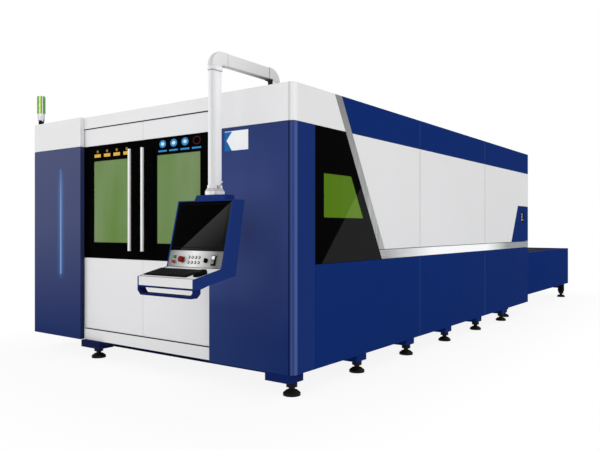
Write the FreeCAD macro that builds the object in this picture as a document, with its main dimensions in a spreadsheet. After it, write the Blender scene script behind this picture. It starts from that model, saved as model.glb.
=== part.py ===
import FreeCAD, Part
import math
import os

import Sketcher

# Fiber laser cutting machine: closed cutting cabin, shuttle table behind it and an operator
# console on a swing arm.  Millimetres.  +X is the operator's right, +Y runs from the doors to
# the shuttle table and +Z is up.  The origin is on the floor, under the middle of the box that
# holds the machine.  Inside this file X is counted from the middle of the cabin, Y from the
# plane of its front and Z from the floor.

SIZES = {
    # cabin
    "body_width": 3060,
    "body_length": 5210,
    "body_height": 2100,
    "skirt_height": 149,
    "belt_line": 876,
    "belt_height": 77,
    "cap_height": 259,
    "joint_gap": 3,
    "panel_depth": 30,
    "panel_skin": 3,
    "panel_flange": 25,
    "tube_side": 50,
    "first_seam": 1920,
    "second_seam": 3590,
    # front
    "left_cabinet_width": 725,
    "right_cabinet_width": 767,
    "recess_depth": 40,
    "frame_setback": 70,
    "corner_radius": 42,
    "corner_reach": 255,
    "header_height": 100,
    "sill_top": 249,
    "sill_gap": 8,
    "plinth_height": 90,
    "strip_from_left": 419,
    "strip_width": 22,
    "strip_low": 711,
    "strip_top_margin": 183,
    # doors
    "door_seam": -27,
    "door_face": 48,
    "door_thickness": 36,
    "door_overlap": 30,
    "door_top_gap": 8,
    "glass_low": 867,
    "glass_rise": 1,
    "glass_thickness": 4,
    "window_low": 1000,
    "window_top_margin": 132,
    "left_window_margin": 124,
    "right_window_margin": 136,
    "window_from_seam": 164,
    "window_lap": 10,
    "left_handle_from_seam": 82,
    "right_handle_from_seam": 52,
    "handle_width": 24,
    "handle_depth": 16,
    "handle_post_inset": 105,
    "handle_reach": 73,
    "handle_low": 941,
    "handle_top_margin": 72,
    "handle_round": 5,
    "running_gap": 0.3,
    # right side
    "trim_top": 509,
    "trim_lean": 0.572,
    "trim_width": 90,
    "pane_front": 365,
    "pane_low": 1202,
    "pane_height": 314,
    "pane_trim_margin": 108,
    "side_skin": 8,
    "tail_height": 455,
    "tail_head": 427,
    "tail_foot": 687,
    "station_tail_margin": 180,
    "station_low": 1206,
    "station_width": 100,
    "station_height": 124,
    "station_recess": 20,
    # tail end
    "mouth_left": 2170,
    "mouth_right": 96,
    "mouth_top": 1330,
    "gate_lap": 13,
    "gate_low": 830,
    "gate_height": 590,
    "gate_thickness": 30,
    # bed
    "bed_inset": 100,
    "bed_width": 2042,
    "bed_front": 120,
    "bed_rear": 4450,
    "bed_top": 900,
    "beam_width": 120,
    "beam_wall": 10,
    "rail_width": 30,
    "rail_height": 28,
    "rack_width": 30,
    "rack_height": 36,
    "rack_tooth": 12,
    "rack_spacing": 50,
    # feet
    "foot_inset": 67,
    "foot_spread": 2108,
    "first_foot": 75,
    "foot_spacing": 850,
    "foot_count": 6,
    "pad_radius": 60,
    "pad_height": 35,
    "neck_radius": 21,
    "neck_height": 22,
    "nut_radius": 38,
    "block_low": 90,
    "block_width": 150,
    "right_block_length": 240,
    "left_block_length": 250,
    "left_block_reach": 145,
    "front_rail_height": 22,
    # shuttle table
    "table_rear": 7810,
    "table_low": 208,
    "table_height": 582,
    "table_skin": 8,
    "table_flange": 60,
    "table_foot_inset": 45,
    "table_first_foot": 4680,
    "table_last_foot": 7530,
    "leg_width": 110,
    "ledge_reach": 85,
    "ledge_thickness": 12,
    # pallets
    "pallet_width": 1700,
    "pallet_length": 3070,
    "pallet_clearance": 40,
    "shuttle_stroke": 3500,
    "deck_height": 785,
    "deck_drop": 150,
    "slat_height": 80,
    "slat_thickness": 6,
    "slat_count": 20,
    "slat_spacing": 150,
    "tooth_count": 12,
    "tooth_depth": 30,
    "member_width": 40,
    "member_height": 70,
    "bearer_height": 15,
    "bearer_width": 40,
    "wheel_radius": 25,
    "wheel_width": 30,
    # gantry
    "gantry_front": 1100,
    "gantry_depth": 220,
    "gantry_height": 250,
    "gantry_wall": 12,
    "shoe_height": 46,
    "shoe_length": 200,
    "shoe_width": 76,
    "guide_width": 26,
    "guide_depth": 22,
    "guide_inset": 32,
    "carriage_width": 280,
    "carriage_thickness": 30,
    "slide_width": 140,
    "slide_rise": 60,
    "head_radius": 42,
    "nozzle_height": 930,
    "head_top": 1250,
    # arm
    "arm_inset": 430,
    "arm_base_back": 338,
    "arm_drop_front": 290,
    "arm_width": 38,
    "arm_deep": 80,
    "arm_bend": 16,
    "arm_neck_height": 101,
    "arm_collar": 8,
    "arm_collar_length": 45,
    "base_radius": 78,
    "base_height": 14,
    "base_neck": 28,
    "flange_low": 1345,
    "flange_height": 46,
    "flange_width": 84,
    "flange_deep": 106,
    "sleeve_height": 20,
    "lever_radius": 8,
    "lever_hub": 14,
    "lever_length": 34,
    "lever_rise": 34,
    # console
    "console_width": 507,
    "console_offset": 30,
    "console_top": 1310,
    "console_tilt": 13.7,
    "console_front": 351,
    "console_thick": 104,
    "console_reach": 700,
    "cheek": 8,
    "cheek_width": 12,
    "housing_rise": 64,
    "neck_width": 275,
    "neck_chamfer": 22,
    "screen_foot": 981,
    "panel_foot": 875,
    "tray_lip": 767,
    "tray_drop": 51,
    "loop_depth": 56,
    "loop_low": 705,
    "loop_bar": 14,
    "loop_head": 12,
    "loop_chamfer": 28,
    "keyboard_width": 385,
    "keyboard_margin": 6,
    "keyboard_setback": 39,
    "keyboard_length": 152,
    "keyboard_height": 14,
    "key_rise": 4,
    "key_columns": 12,
    "key_rows": 5,
    "key_groove": 3,
    "mouse_width": 50,
    "mouse_length": 92,
    "mouse_height": 28,
    "mouse_setback": 52,
    # controls, counted along the panel from its left edge and up from the floor
    "stop_radius": 20,
    "stop_height": 24,
    "stop_along": 142,
    "stop_level": 921,
    "button_radius": 11,
    "button_height": 13,
    "start_along": 64,
    "start_level": 939,
    "halt_along": 66,
    "halt_level": 905,
    "stem_radius": 5,
    "stem_length": 3.5,
    "stem_gap": 0.05,
    "press_room": 6,
    "key_radius": 6,
    "key_height": 5,
    "key_along": 200,
    "key_spacing": 31,
    "key_level": 905,
    "key_row_spacing": 34,
    "knob_radius": 15,
    "knob_height": 20,
    "knob_along": 358,
    "knob_level": 919,
    "cover_width": 34,
    "cover_length": 65,
    "cover_thickness": 8,
    "cover_along": 408,
    "cover_level": 953,
    "station_radius": 13,
    "station_rise": 9,
    # signal tower
    "tower_inset": 50,
    "tower_setback": 41,
    "tower_foot_radius": 24,
    "tower_foot_height": 42,
    "tower_neck_radius": 38,
    "tower_neck_height": 66,
    "lamp_radius": 38,
    "lamp_height": 170,
}

document = FreeCAD.newDocument("LaserCutter")


class Size:
    """A length that knows its number and the sheet formula behind it."""

    def __init__(self, value, formula):
        self.value = float(value)
        self.formula = formula

    def __add__(self, other):
        other = as_size(other)
        return Size(self.value + other.value, f"({self.formula} + {other.formula})")

    def __sub__(self, other):
        other = as_size(other)
        return Size(self.value - other.value, f"({self.formula} - {other.formula})")

    def __mul__(self, other):
        other = as_size(other)
        return Size(self.value * other.value, f"{self.formula} * {other.formula}")

    def __truediv__(self, other):
        other = as_size(other)
        return Size(self.value / other.value, f"{self.formula} / {other.formula}")

    def __neg__(self):
        return Size(-self.value, f"(0 - {self.formula})")

    def __radd__(self, other):
        return as_size(other) + self

    def __rsub__(self, other):
        return as_size(other) - self

    def __rmul__(self, other):
        return as_size(other) * self


def as_size(number):
    """Turn a plain number into a Size and leave a Size alone."""
    return number if isinstance(number, Size) else Size(number, repr(number))


def tangent(angle):
    """The tangent of an angle in degrees."""
    return Size(math.tan(math.radians(angle.value)), f"tan({angle.formula} * 1 deg)")


class Sheet:
    """The spreadsheet of driving sizes, read by alias."""

    def __init__(self, table):
        self.cells = document.addObject("Spreadsheet::Sheet", "Sizes")
        self.table = table
        for row, (alias, value) in enumerate(table.items(), start=1):
            self.cells.set(f"A{row}", alias)
            self.cells.set(f"B{row}", str(value))
            self.cells.setAlias(f"B{row}", alias)
        document.recompute()

    def __getattr__(self, alias):
        return Size(self.table[alias], f"Sizes.{alias}")


size = Sheet(SIZES)
pieces = {}

# Every piece hangs on the front plane of the cabin, which lies this far from the origin.
front_plane = (size.console_reach - size.table_rear) / 2

half = size.body_width / 2
inner_half = half - size.panel_depth
recess_left = size.left_cabinet_width - half
recess_right = half - size.right_cabinet_width
belt_top = size.belt_line + size.belt_height
cap_line = size.body_height - size.cap_height
glass_top = cap_line + size.glass_rise
door_top = size.body_height - size.header_height - size.door_top_gap
bed_right = half - size.bed_inset
bed_left = bed_right - size.bed_width
bed_middle = bed_right - size.bed_width / 2
arm_middle = half - size.arm_inset
seam_half = size.joint_gap / 2


def bind(thing, path, value):
    """Drive a property of an object by a sheet formula."""
    thing.setExpression(path, as_size(value).formula)


def member(name):
    """Start a body that is built from sketches and belongs to a larger weldment."""
    part = document.addObject("PartDesign::Body", name)
    part.Label = name
    part.AllowCompound = True
    bind(part, ".Placement.Base.y", front_plane)
    return part


def body(name):
    """Start a sub-part that is built from sketches."""
    part = member(name)
    pieces[name] = part
    return part


def origin_feature(part, role):
    """Find an axis or a plane of a body's own origin."""
    return next(item for item in part.Origin.OriginFeatures if item.Role == role)


def draw_polygon(drawing, corners):
    """Add a closed polygon whose every corner is dimensioned from the sketch's origin."""
    first = drawing.GeometryCount
    points = [FreeCAD.Vector(as_size(u).value, as_size(v).value, 0) for u, v in corners]
    count = len(points)
    for index in range(count):
        edge = Part.LineSegment(points[index], points[(index + 1) % count])
        drawing.addGeometry(edge, False)
    for index in range(count):
        following = first + (index + 1) % count
        drawing.addConstraint(Sketcher.Constraint("Coincident", first + index, 2, following, 1))
    for index, (u, v) in enumerate(corners):
        for kind, value in (("DistanceX", u), ("DistanceY", v)):
            rule = Sketcher.Constraint(kind, -1, 1, first + index, 1, as_size(value).value)
            number = drawing.addConstraint(rule)
            bind(drawing, f"Constraints[{number}]", value)


def draw_circle(drawing, u, v, radius):
    """Add a circle dimensioned from the sketch's origin."""
    first = drawing.GeometryCount
    centre = FreeCAD.Vector(as_size(u).value, as_size(v).value, 0)
    upwards = FreeCAD.Vector(0, 0, 1)
    drawing.addGeometry(Part.Circle(centre, upwards, as_size(radius).value), False)
    for kind, value in (("DistanceX", u), ("DistanceY", v)):
        rule = Sketcher.Constraint(kind, -1, 1, first, 3, as_size(value).value)
        bind(drawing, f"Constraints[{drawing.addConstraint(rule)}]", value)
    rule = Sketcher.Constraint("Radius", first, as_size(radius).value)
    bind(drawing, f"Constraints[{drawing.addConstraint(rule)}]", radius)


def sketch(part, plane, loops, offset=(0, 0, 0)):
    """Draw loops on one of the body's origin planes; a loop of three sizes is a circle."""
    drawing = part.newObject("Sketcher::SketchObject", f"{part.Name}_sketch")
    drawing.AttachmentSupport = [(origin_feature(part, f"{plane}_Plane"), "")]
    drawing.MapMode = "FlatFace"
    for axis, value in zip("xyz", offset):
        bind(drawing, f".AttachmentOffset.Base.{axis}", value)
    for loop in loops:
        if len(loop) == 3 and not isinstance(loop[0], tuple):
            draw_circle(drawing, *loop)
        else:
            draw_polygon(drawing, loop)
    return drawing


def rectangle(low_u, low_v, high_u, high_v):
    """The corners of a rectangle."""
    return [(low_u, low_v), (high_u, low_v), (high_u, high_v), (low_u, high_v)]


def pad(part, plane, low, high, loops):
    """Add a prism that reaches from low to high along the plane's axis."""
    start = -as_size(high) if plane == "XZ" else low
    drawing = sketch(part, plane, loops, (0, 0, start))
    feature = part.newObject("PartDesign::Pad", f"{part.Name}_pad")
    feature.Profile = drawing
    bind(feature, "Length", high - as_size(low))
    drawing.Visibility = False
    document.recompute()
    return feature


def pocket(part, plane, low, high, loops):
    """Cut a prism that reaches from low to high along the plane's axis."""
    before = part.Shape.Volume
    start = -as_size(low) if plane == "XZ" else high
    drawing = sketch(part, plane, loops, (0, 0, start))
    feature = part.newObject("PartDesign::Pocket", f"{part.Name}_pocket")
    feature.Profile = drawing
    bind(feature, "Length", high - as_size(low))
    document.recompute()
    if not part.Shape.Volume < before:
        raise RuntimeError(f"{part.Label}: a pocket cuts nothing")
    return feature


def turn(part, plane, loops, offset=(0, 0, 0), axis="V_Axis", angle=360, backwards=False):
    """Add a solid of revolution about an axis of its own sketch."""
    drawing = sketch(part, plane, loops, offset)
    feature = part.newObject("PartDesign::Revolution", f"{part.Name}_turn")
    feature.Profile = drawing
    feature.ReferenceAxis = (drawing, [axis])
    feature.Angle = angle
    feature.Reversed = backwards
    document.recompute()
    return feature


def edges_through(shape, points):
    """Name the edges that pass through the given points."""
    names = []
    for number, edge in enumerate(shape.Edges, start=1):
        for point in points:
            vertex = Part.Vertex(FreeCAD.Vector(*[as_size(value).value for value in point]))
            if edge.distToShape(vertex)[0] < 0.01 and f"Edge{number}" not in names:
                names.append(f"Edge{number}")
    return names


def round_off(part, radius, points, kind="Fillet"):
    """Round or chamfer the edges of a body that pass through the given points."""
    base = part.Tip
    names = edges_through(base.Shape, points)
    if len(names) < len(points):
        raise RuntimeError(f"{part.Label}: an edge to round was not found")
    feature = part.newObject(f"PartDesign::{kind}", f"{part.Name}_{kind.lower()}")
    feature.Base = (base, names)
    bind(feature, "Radius" if kind == "Fillet" else "Size", radius)
    document.recompute()
    return feature


def repeat(part, original, axis, pitch, count):
    """Repeat a feature along one of the body's own axes."""
    pattern = part.newObject("PartDesign::LinearPattern", f"{part.Name}_pattern")
    pattern.Originals = [original]
    pattern.Direction = (origin_feature(part, f"{axis}_Axis"), [""])
    pattern.Mode = "Spacing"
    bind(pattern, "Offset", pitch)
    bind(pattern, "Occurrences", count)
    part.Tip = pattern
    document.recompute()
    return pattern


def block(name, low, high):
    """A box between two corners, as a plain primitive in machine coordinates."""
    solid = document.addObject("Part::Box", name)
    for path, near, far in zip(("Length", "Width", "Height"), low, high):
        bind(solid, path, far - as_size(near))
    bind(solid, ".Placement.Base.x", low[0])
    bind(solid, ".Placement.Base.y", front_plane + low[1])
    bind(solid, ".Placement.Base.z", low[2])
    return solid


def gathered(name, members):
    """One sub-part made of members that are cut to length and welded edge to edge."""
    weldment = document.addObject("Part::Compound", name)
    weldment.Label = name
    weldment.Links = members
    pieces[name] = weldment
    return weldment


def inset(loop_low_u, loop_low_v, loop_high_u, loop_high_v):
    """A rectangle drawn in from its edges by a panel's flange."""
    edge = size.panel_flange
    return rectangle(loop_low_u + edge, loop_low_v + edge, loop_high_u - edge, loop_high_v - edge)


# ---------------------------------------------------------------- cabin skeleton

def trim_edge(level):
    """Y of the slanted trim's front edge at a height."""
    return size.trim_top + (size.body_height - level) * size.trim_lean


def make_room_frame():
    """Square tubes cut to length and set edge to edge: rails, posts and cross rails."""
    side = size.tube_side
    rear = size.body_length - size.panel_depth
    front = size.frame_setback
    low, high = size.skirt_height, size.body_height - size.panel_depth - side
    rail_levels = (size.belt_line, cap_line - side / 2)
    posts = (
        front + size.panel_depth,
        size.first_seam - side / 2,
        size.second_seam - side / 2,
        rear - side,
    )
    tubes = []
    for hand, outer in (("right", inner_half), ("left", side - inner_half)):
        inner = outer - side
        for word, level in (("sole", low), ("head", high)):
            name = f"{hand}_{word}_rail"
            tubes.append(block(name, (inner, front, level), (outer, rear, level + side)))
        for number, place in enumerate(posts):
            foot = (inner, place, low + side)
            tubes.append(block(f"{hand}_post_{number}", foot, (outer, place + side, high)))
        for number, (near, far) in enumerate(zip(posts, posts[1:])):
            for level_number, level in enumerate(rail_levels):
                start = (inner, near + side, level)
                name = f"{hand}_rail_{number}_{level_number}"
                tubes.append(block(name, start, (outer, far, level + side)))
    reach = inner_half - side
    for number, place in enumerate((front,) + posts[1:]):
        ends = (reach, place + side, high + side)
        tubes.append(block(f"head_cross_rail_{number}", (-reach, place, high), ends))
        stop = reach if number == 0 else bed_left
        ends = (stop, place + side, low + side)
        tubes.append(block(f"sole_cross_rail_{number}", (-reach, place, low), ends))
    return gathered("room_frame", tubes)


def make_bed_frame():
    """Box beams under the gantry rails, cross members, wheel ledges and foot blocks."""
    wall = size.beam_wall
    foot = size.skirt_height
    inner_left = bed_left + size.beam_width
    inner_right = bed_right - size.beam_width
    beams = member("bed_beams")
    for low, high in ((inner_right, bed_right), (bed_left, inner_left)):
        outside = rectangle(low, foot, high, size.bed_top)
        inside = rectangle(low + wall, foot + wall, high - wall, size.bed_top - wall)
        pad(beams, "XZ", size.bed_front, size.bed_rear, [outside, inside])
    crossings = member("bed_cross_members")
    crossing = rectangle(inner_left, foot, inner_right, foot + size.beam_width)
    first = pad(crossings, "XZ", size.bed_front, size.bed_front + size.beam_width, [crossing])
    repeat(crossings, first, "Y", (size.bed_rear - size.bed_front - size.beam_width) / 3, 4)
    ledges = member("bed_ledges")
    shelves = []
    for level in (ledge_level(0), ledge_level(size.deck_drop)):
        low = level - size.ledge_thickness
        shelves.append(rectangle(inner_left, low, inner_left + size.ledge_reach, level))
        shelves.append(rectangle(inner_right - size.ledge_reach, low, inner_right, level))
    pad(ledges, "XZ", pallet_start(0) - size.ledge_reach, size.bed_rear, shelves)
    right = half - size.panel_flange
    left = half - size.foot_inset - size.foot_spread
    reach = size.left_block_reach
    half_block = size.block_width / 2
    near, far = size.first_foot - half_block, size.first_foot + half_block
    plates = [
        rectangle(half - size.right_block_length, near, right, far),
        rectangle(left - reach, near, left - reach + size.left_block_length, far),
    ]
    blocks = member("bed_foot_blocks")
    row = pad(blocks, "XY", size.block_low, foot, plates)
    repeat(blocks, row, "Y", size.foot_spacing, size.foot_count)
    rail = member("bed_front_rail")
    rail_face = rectangle(
        left - reach + size.left_block_length, foot - size.front_rail_height,
        half - size.right_block_length, foot,
    )
    pad(rail, "XZ", size.recess_depth + size.panel_skin, size.bed_front, [rail_face])
    return gathered("bed_frame", [beams, crossings, ledges, blocks, rail])


def ledge_level(drop):
    """Height of the ledge that a pallet's wheels roll on."""
    return size.deck_height - size.slat_height - size.bearer_height - size.wheel_radius - drop


def pallet_start(shift):
    """Y of a pallet's front end: in the cutting room, or shifted out onto the table."""
    return size.table_rear - size.pallet_clearance - size.pallet_length - size.shuttle_stroke + shift


def make_feet():
    """Levelling feet: pad, neck and nut turned in one profile, in rows under the blocks."""
    feet = body("levelling_feet")
    neck_top = size.pad_height + size.neck_height
    rim = size.pad_height / 2
    profile = [
        (0, 0),
        (size.pad_radius, 0),
        (size.pad_radius, rim),
        (size.neck_radius + rim, size.pad_height),
        (size.neck_radius, size.pad_height),
        (size.neck_radius, neck_top),
        (size.nut_radius, neck_top),
        (size.nut_radius, size.block_low),
        (0, size.block_low),
    ]
    right = half - size.foot_inset
    rows = ((right, size.first_foot), (right - size.foot_spread, size.first_foot))
    for place_x, place_y in rows:
        foot = turn(feet, "XZ", [profile], (place_x, 0, -place_y))
        repeat(feet, foot, "Y", size.foot_spacing, size.foot_count)
    table_right = bed_right - size.table_foot_inset
    table_left = bed_left + size.table_foot_inset
    stroke = size.table_last_foot - size.table_first_foot
    for place_x in (table_right, table_left):
        foot = turn(feet, "XZ", [profile], (place_x, 0, -size.table_first_foot))
        repeat(feet, foot, "Y", stroke, 2)
    return feet


# ---------------------------------------------------------------- front of the cabin

def make_left_cabinet():
    """Blue cover left of the doors, a folded tray with a deep foot flange."""
    cover = body("left_cabinet")
    low, high = size.skirt_height, cap_line
    right = recess_left
    pad(cover, "XZ", 0, size.panel_depth, [rectangle(-half, low, right, high)])
    pocket(cover, "XZ", size.panel_skin, size.panel_depth, [inset(-half, low, right, high)])
    foot = rectangle(-inner_half, low, right, low + size.plinth_height)
    pad(cover, "XZ", size.panel_depth, size.frame_setback, [foot])
    lip = rectangle(right - size.panel_flange, low + size.plinth_height, right, high)
    pad(cover, "XZ", size.panel_depth, size.recess_depth, [lip])
    strip_left = size.strip_from_left - half
    strip_top = high - size.strip_top_margin
    slot = rectangle(
        strip_left, size.strip_low, strip_left + size.strip_width, strip_top
    )
    pocket(cover, "XZ", 0, size.panel_skin, [slot])
    middle = (low + high) / 2
    round_off(cover, size.panel_skin * 3, [(-half, 0, middle)])
    return cover


def make_light_strip():
    """Glowing bar that fills the slot in the left cover."""
    strip = body("light_strip")
    gap = size.running_gap
    left = size.strip_from_left - half
    low = size.strip_low
    high = cap_line - size.strip_top_margin
    face = rectangle(
        left + gap, low + gap, left + size.strip_width - gap, high - gap
    )
    pad(strip, "XZ", 0, size.panel_skin * 4, [face])
    return strip


def make_left_cap():
    """White cap above the left cover."""
    cap = body("left_cap")
    low, high = cap_line + size.joint_gap, size.body_height
    right = recess_left
    pad(cap, "XZ", 0, size.panel_depth, [rectangle(-half, low, right, high)])
    pocket(cap, "XZ", size.panel_skin, size.panel_depth, [inset(-half, low, right, high)])
    crown = rectangle(-inner_half, high - size.header_height + size.joint_gap, right, high)
    pad(cap, "XZ", size.panel_depth, size.frame_setback, [crown])
    lip_top = high - size.header_height + size.joint_gap
    lip = rectangle(right - size.panel_flange, low, right, lip_top)
    pad(cap, "XZ", size.panel_depth, size.recess_depth, [lip])
    round_off(cap, size.panel_skin * 3, [(-half, 0, (low + high) / 2)])
    return cap


def corner_outline(reach, lip):
    """Plan of a cover that starts beside the doors and wraps round the front right corner."""
    inner = half - size.panel_depth
    return [
        (recess_right, 0),
        (half, 0),
        (half, reach),
        (inner, reach),
        (inner, size.panel_depth),
        (recess_right + size.panel_flange, size.panel_depth),
        (recess_right + size.panel_flange, lip),
        (recess_right, lip),
    ]


def round_corner(cover, level):
    """Give the cabin's front right corner its large radius, inside and out."""
    inner = half - size.panel_depth
    round_off(cover, size.corner_radius, [(half, 0, level)])
    round_off(cover, size.corner_radius - size.panel_depth, [(inner, size.panel_depth, level)])


def make_right_cabinet():
    """Blue cover right of the doors, rounded round the corner to the side glass."""
    cover = body("right_cabinet")
    low, high = size.skirt_height, cap_line
    plan = corner_outline(size.corner_reach, size.recess_depth)
    pad(cover, "XY", low, high, [plan])
    round_corner(cover, (low + high) / 2)
    foot = rectangle(recess_right, low, half - size.panel_depth * 3, low + size.plinth_height)
    pad(cover, "XZ", size.panel_depth, size.frame_setback, [foot])
    return cover


def make_corner_cap():
    """White cap over the right cover, cut off aslant where the silver trim runs."""
    cap = body("corner_cap")
    low, high = cap_line + size.joint_gap, size.body_height
    reach = trim_edge(low) - size.joint_gap
    pad(cap, "XY", low, high, [corner_outline(reach, size.recess_depth)])
    round_corner(cap, (low + high) / 2)
    wedge = [
        (trim_edge(high) - size.joint_gap, high),
        (reach, low),
        (reach, high),
    ]
    pocket(cap, "YZ", inner_half - size.joint_gap, half, [wedge])
    crown_low = high - size.header_height + size.joint_gap
    crown = rectangle(recess_right, crown_low, half - size.panel_depth * 3, high)
    pad(cap, "XZ", size.panel_depth, size.frame_setback, [crown])
    return cap


def make_front_fascia():
    """White header above the doors."""
    fascia = body("front_fascia")
    low, high = size.body_height - size.header_height, size.body_height
    left, right = recess_left + seam_half, recess_right - seam_half
    pad(fascia, "XZ", size.recess_depth, size.frame_setback, [rectangle(left, low, right, high)])
    hollow = [inset(left, low, right, high)]
    skin_back = size.recess_depth + size.panel_skin
    pocket(fascia, "XZ", skin_back, size.frame_setback, hollow)
    return fascia


def make_door_sill():
    """White kick plate that the doors run on."""
    sill = body("door_sill")
    low, high = size.skirt_height, size.sill_top
    left, right = recess_left + seam_half, recess_right - seam_half
    face = rectangle(left, low, right, high - size.sill_gap)
    pad(sill, "XZ", size.recess_depth, size.frame_setback, [face])
    shelf = rectangle(left, low + size.tube_side, right, high)
    pad(sill, "XZ", size.frame_setback, size.door_face + size.door_thickness, [shelf])
    return sill


# ---------------------------------------------------------------- sliding doors

class DoorPlan:
    """Where one door's pieces lie; side is -1 for the left door and 1 for the right."""

    def __init__(self, side):
        gap = size.joint_gap / 2
        self.side = side
        self.inner = size.door_seam + side * gap
        self.frame_edge = recess_right if side > 0 else recess_left
        self.outer = self.frame_edge + side * size.door_overlap
        self.window_margin = size.right_window_margin if side > 0 else size.left_window_margin
        self.handle_near = size.right_handle_from_seam if side > 0 else size.left_handle_from_seam
        self.low = size.sill_top + size.running_gap
        self.face = size.door_face + size.glass_thickness
        self.back = size.door_face + size.door_thickness
        self.name = "right" if side > 0 else "left"

    def span(self, near, far):
        """Order two distances from the door seam into a low and a high X."""
        first = size.door_seam + self.side * near
        second = size.door_seam + self.side * far
        return (first, second) if self.side > 0 else (second, first)

    def sheet(self, low, high):
        """The door's full width between two heights."""
        ends = (self.inner, self.outer) if self.side > 0 else (self.outer, self.inner)
        return rectangle(ends[0], low, ends[1], high)

    def window(self, lap):
        """The window's outline, drawn outwards by a lap."""
        near = size.door_seam + (size.window_from_seam - lap) * self.side
        far = self.frame_edge - (self.window_margin - lap) * self.side
        ends = (near, far) if self.side > 0 else (far, near)
        high = glass_top - size.window_top_margin + lap
        return rectangle(ends[0], size.window_low - lap, ends[1], high)


def make_door(side):
    """One sliding door: white leaf, black glass, green window and bar handle."""
    plan = DoorPlan(side)
    leaf = body(f"{plan.name}_door")
    outline = plan.sheet(plan.low, door_top)
    hole = plan.window(size.window_lap + size.running_gap)
    pad(leaf, "XZ", plan.face, plan.back, [outline, hole])
    lower = plan.sheet(plan.low, size.glass_low - seam_half)
    upper = plan.sheet(glass_top + seam_half, door_top)
    pad(leaf, "XZ", size.door_face, plan.face, [lower, upper])
    ends = [plan.inner + side * size.panel_flange, plan.outer - side * size.panel_flange]
    ends.sort(key=lambda end: end.value)
    rib = size.panel_flange
    cavity = rectangle(ends[0], plan.low + rib, ends[1], size.glass_low - rib)
    pocket(leaf, "XZ", plan.face + size.panel_skin, plan.back, [cavity])

    glass = body(f"{plan.name}_door_glass")
    pane = plan.sheet(size.glass_low, glass_top)
    pad(glass, "XZ", size.door_face, plan.face, [pane, plan.window(0)])

    window = body(f"{plan.name}_door_window")
    pad(window, "XZ", plan.face, plan.face + size.glass_thickness, [plan.window(size.window_lap)])

    handle = body(f"{plan.name}_door_handle")
    front = size.door_face - size.handle_reach
    back = front + size.handle_depth
    low_x, high_x = plan.span(plan.handle_near, plan.handle_near + size.handle_width)
    low, high = size.handle_low, glass_top - size.handle_top_margin
    pad(handle, "XZ", front, back, [rectangle(low_x, low, high_x, high)])
    middle = (low + high) / 2
    round_off(handle, size.handle_round, [(low_x, front, middle), (high_x, front, middle)])
    centre = (low_x + high_x) / 2
    foot = size.handle_width / 4
    posts = [
        (centre, low + size.handle_post_inset, foot),
        (centre, high - size.handle_post_inset, foot),
    ]
    pad(handle, "XZ", back, size.door_face, posts)
    return leaf


# ---------------------------------------------------------------- sides and roof

def side_plate(name, loops_with_hollows):
    """Right side covers drawn in side view, each a tray open towards the frame."""
    cover = body(name)
    outlines = [outline for outline, hollow in loops_with_hollows]
    hollows = [hollow for outline, hollow in loops_with_hollows if hollow]
    pad(cover, "YZ", inner_half, half, outlines)
    if hollows:
        pocket(cover, "YZ", inner_half, half - size.panel_skin, hollows)
    return cover


def tray(near, low, far, high):
    """A rectangular cover with its hollow."""
    return rectangle(near, low, far, high), inset(near, low, far, high)


def slanted(low, high, near_edge, far):
    """A cover whose front edge runs along the slanted trim."""
    edge = size.panel_flange
    outline = [(near_edge(low), low), (far, low), (far, high), (near_edge(high), high)]
    hollow = [
        (near_edge(low + edge) + edge, low + edge),
        (far - edge, low + edge),
        (far - edge, high - edge),
        (near_edge(high - edge) + edge, high - edge),
    ]
    return outline, hollow


def behind_trim(level):
    """Y just behind the slanted trim at a height."""
    return trim_edge(level) + size.trim_width + size.joint_gap


def seam_spans(start):
    """The stretches between the cabin's vertical seams."""
    return (
        (start, size.first_seam - seam_half),
        (size.first_seam + seam_half, size.second_seam - seam_half),
        (size.second_seam + seam_half, size.body_length),
    )


def make_side_trim():
    """Silver trim: a slanted strip that turns into the belt along the side."""
    trim = body("side_trim")
    top = size.body_height
    far = size.body_length
    outline = [
        (trim_edge(top), top),
        (trim_edge(size.belt_line), size.belt_line),
        (far, size.belt_line),
        (far, belt_top),
        (trim_edge(belt_top) + size.trim_width, belt_top),
        (trim_edge(top) + size.trim_width, top),
    ]
    pad(trim, "YZ", inner_half, half, [outline])
    return trim


def make_blue_band():
    """Blue band along the top of the right side."""
    low, high = cap_line + size.joint_gap, size.body_height
    spans = seam_spans(0)
    loops = [slanted(low, high, behind_trim, spans[0][1])]
    loops += [tray(near, low, far, high) for near, far in spans[1:]]
    return side_plate("blue_band", loops)


def make_upper_side_panels():
    """White covers of the right side; the last gives way to the blue tail panel."""
    low, high = belt_top + size.joint_gap, cap_line
    spans = seam_spans(0)
    foot = size.body_length - size.tail_foot - size.joint_gap
    head = size.body_length - size.tail_head - size.joint_gap
    shoulder = belt_top + size.tail_height + size.joint_gap
    last = [
        (spans[2][0], low),
        (foot, low),
        (head, shoulder),
        (size.body_length, shoulder),
        (size.body_length, high),
        (spans[2][0], high),
    ]
    loops = [slanted(low, high, behind_trim, spans[0][1])]
    loops.append(tray(spans[1][0], low, spans[1][1], high))
    loops.append((last, None))
    return side_plate("upper_side_panels", loops)


def make_tail_panel():
    """Blue inset at the tail with a recess for the button station."""
    panel = body("tail_panel")
    low = belt_top + size.joint_gap
    far = size.body_length
    high = belt_top + size.tail_height
    outline = [(far - size.tail_foot, low), (far, low), (far, high), (far - size.tail_head, high)]
    pad(panel, "YZ", inner_half, half, [outline])
    pocket(panel, "YZ", half - size.station_recess, half, [station_outline(0)])
    return panel


def station_outline(gap):
    """The rear button station's outline, drawn in by a gap."""
    near = size.body_length - size.station_tail_margin - size.station_width
    low = size.station_low
    return rectangle(
        near + gap, low + gap, near + size.station_width - gap, low + size.station_height - gap
    )


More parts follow.
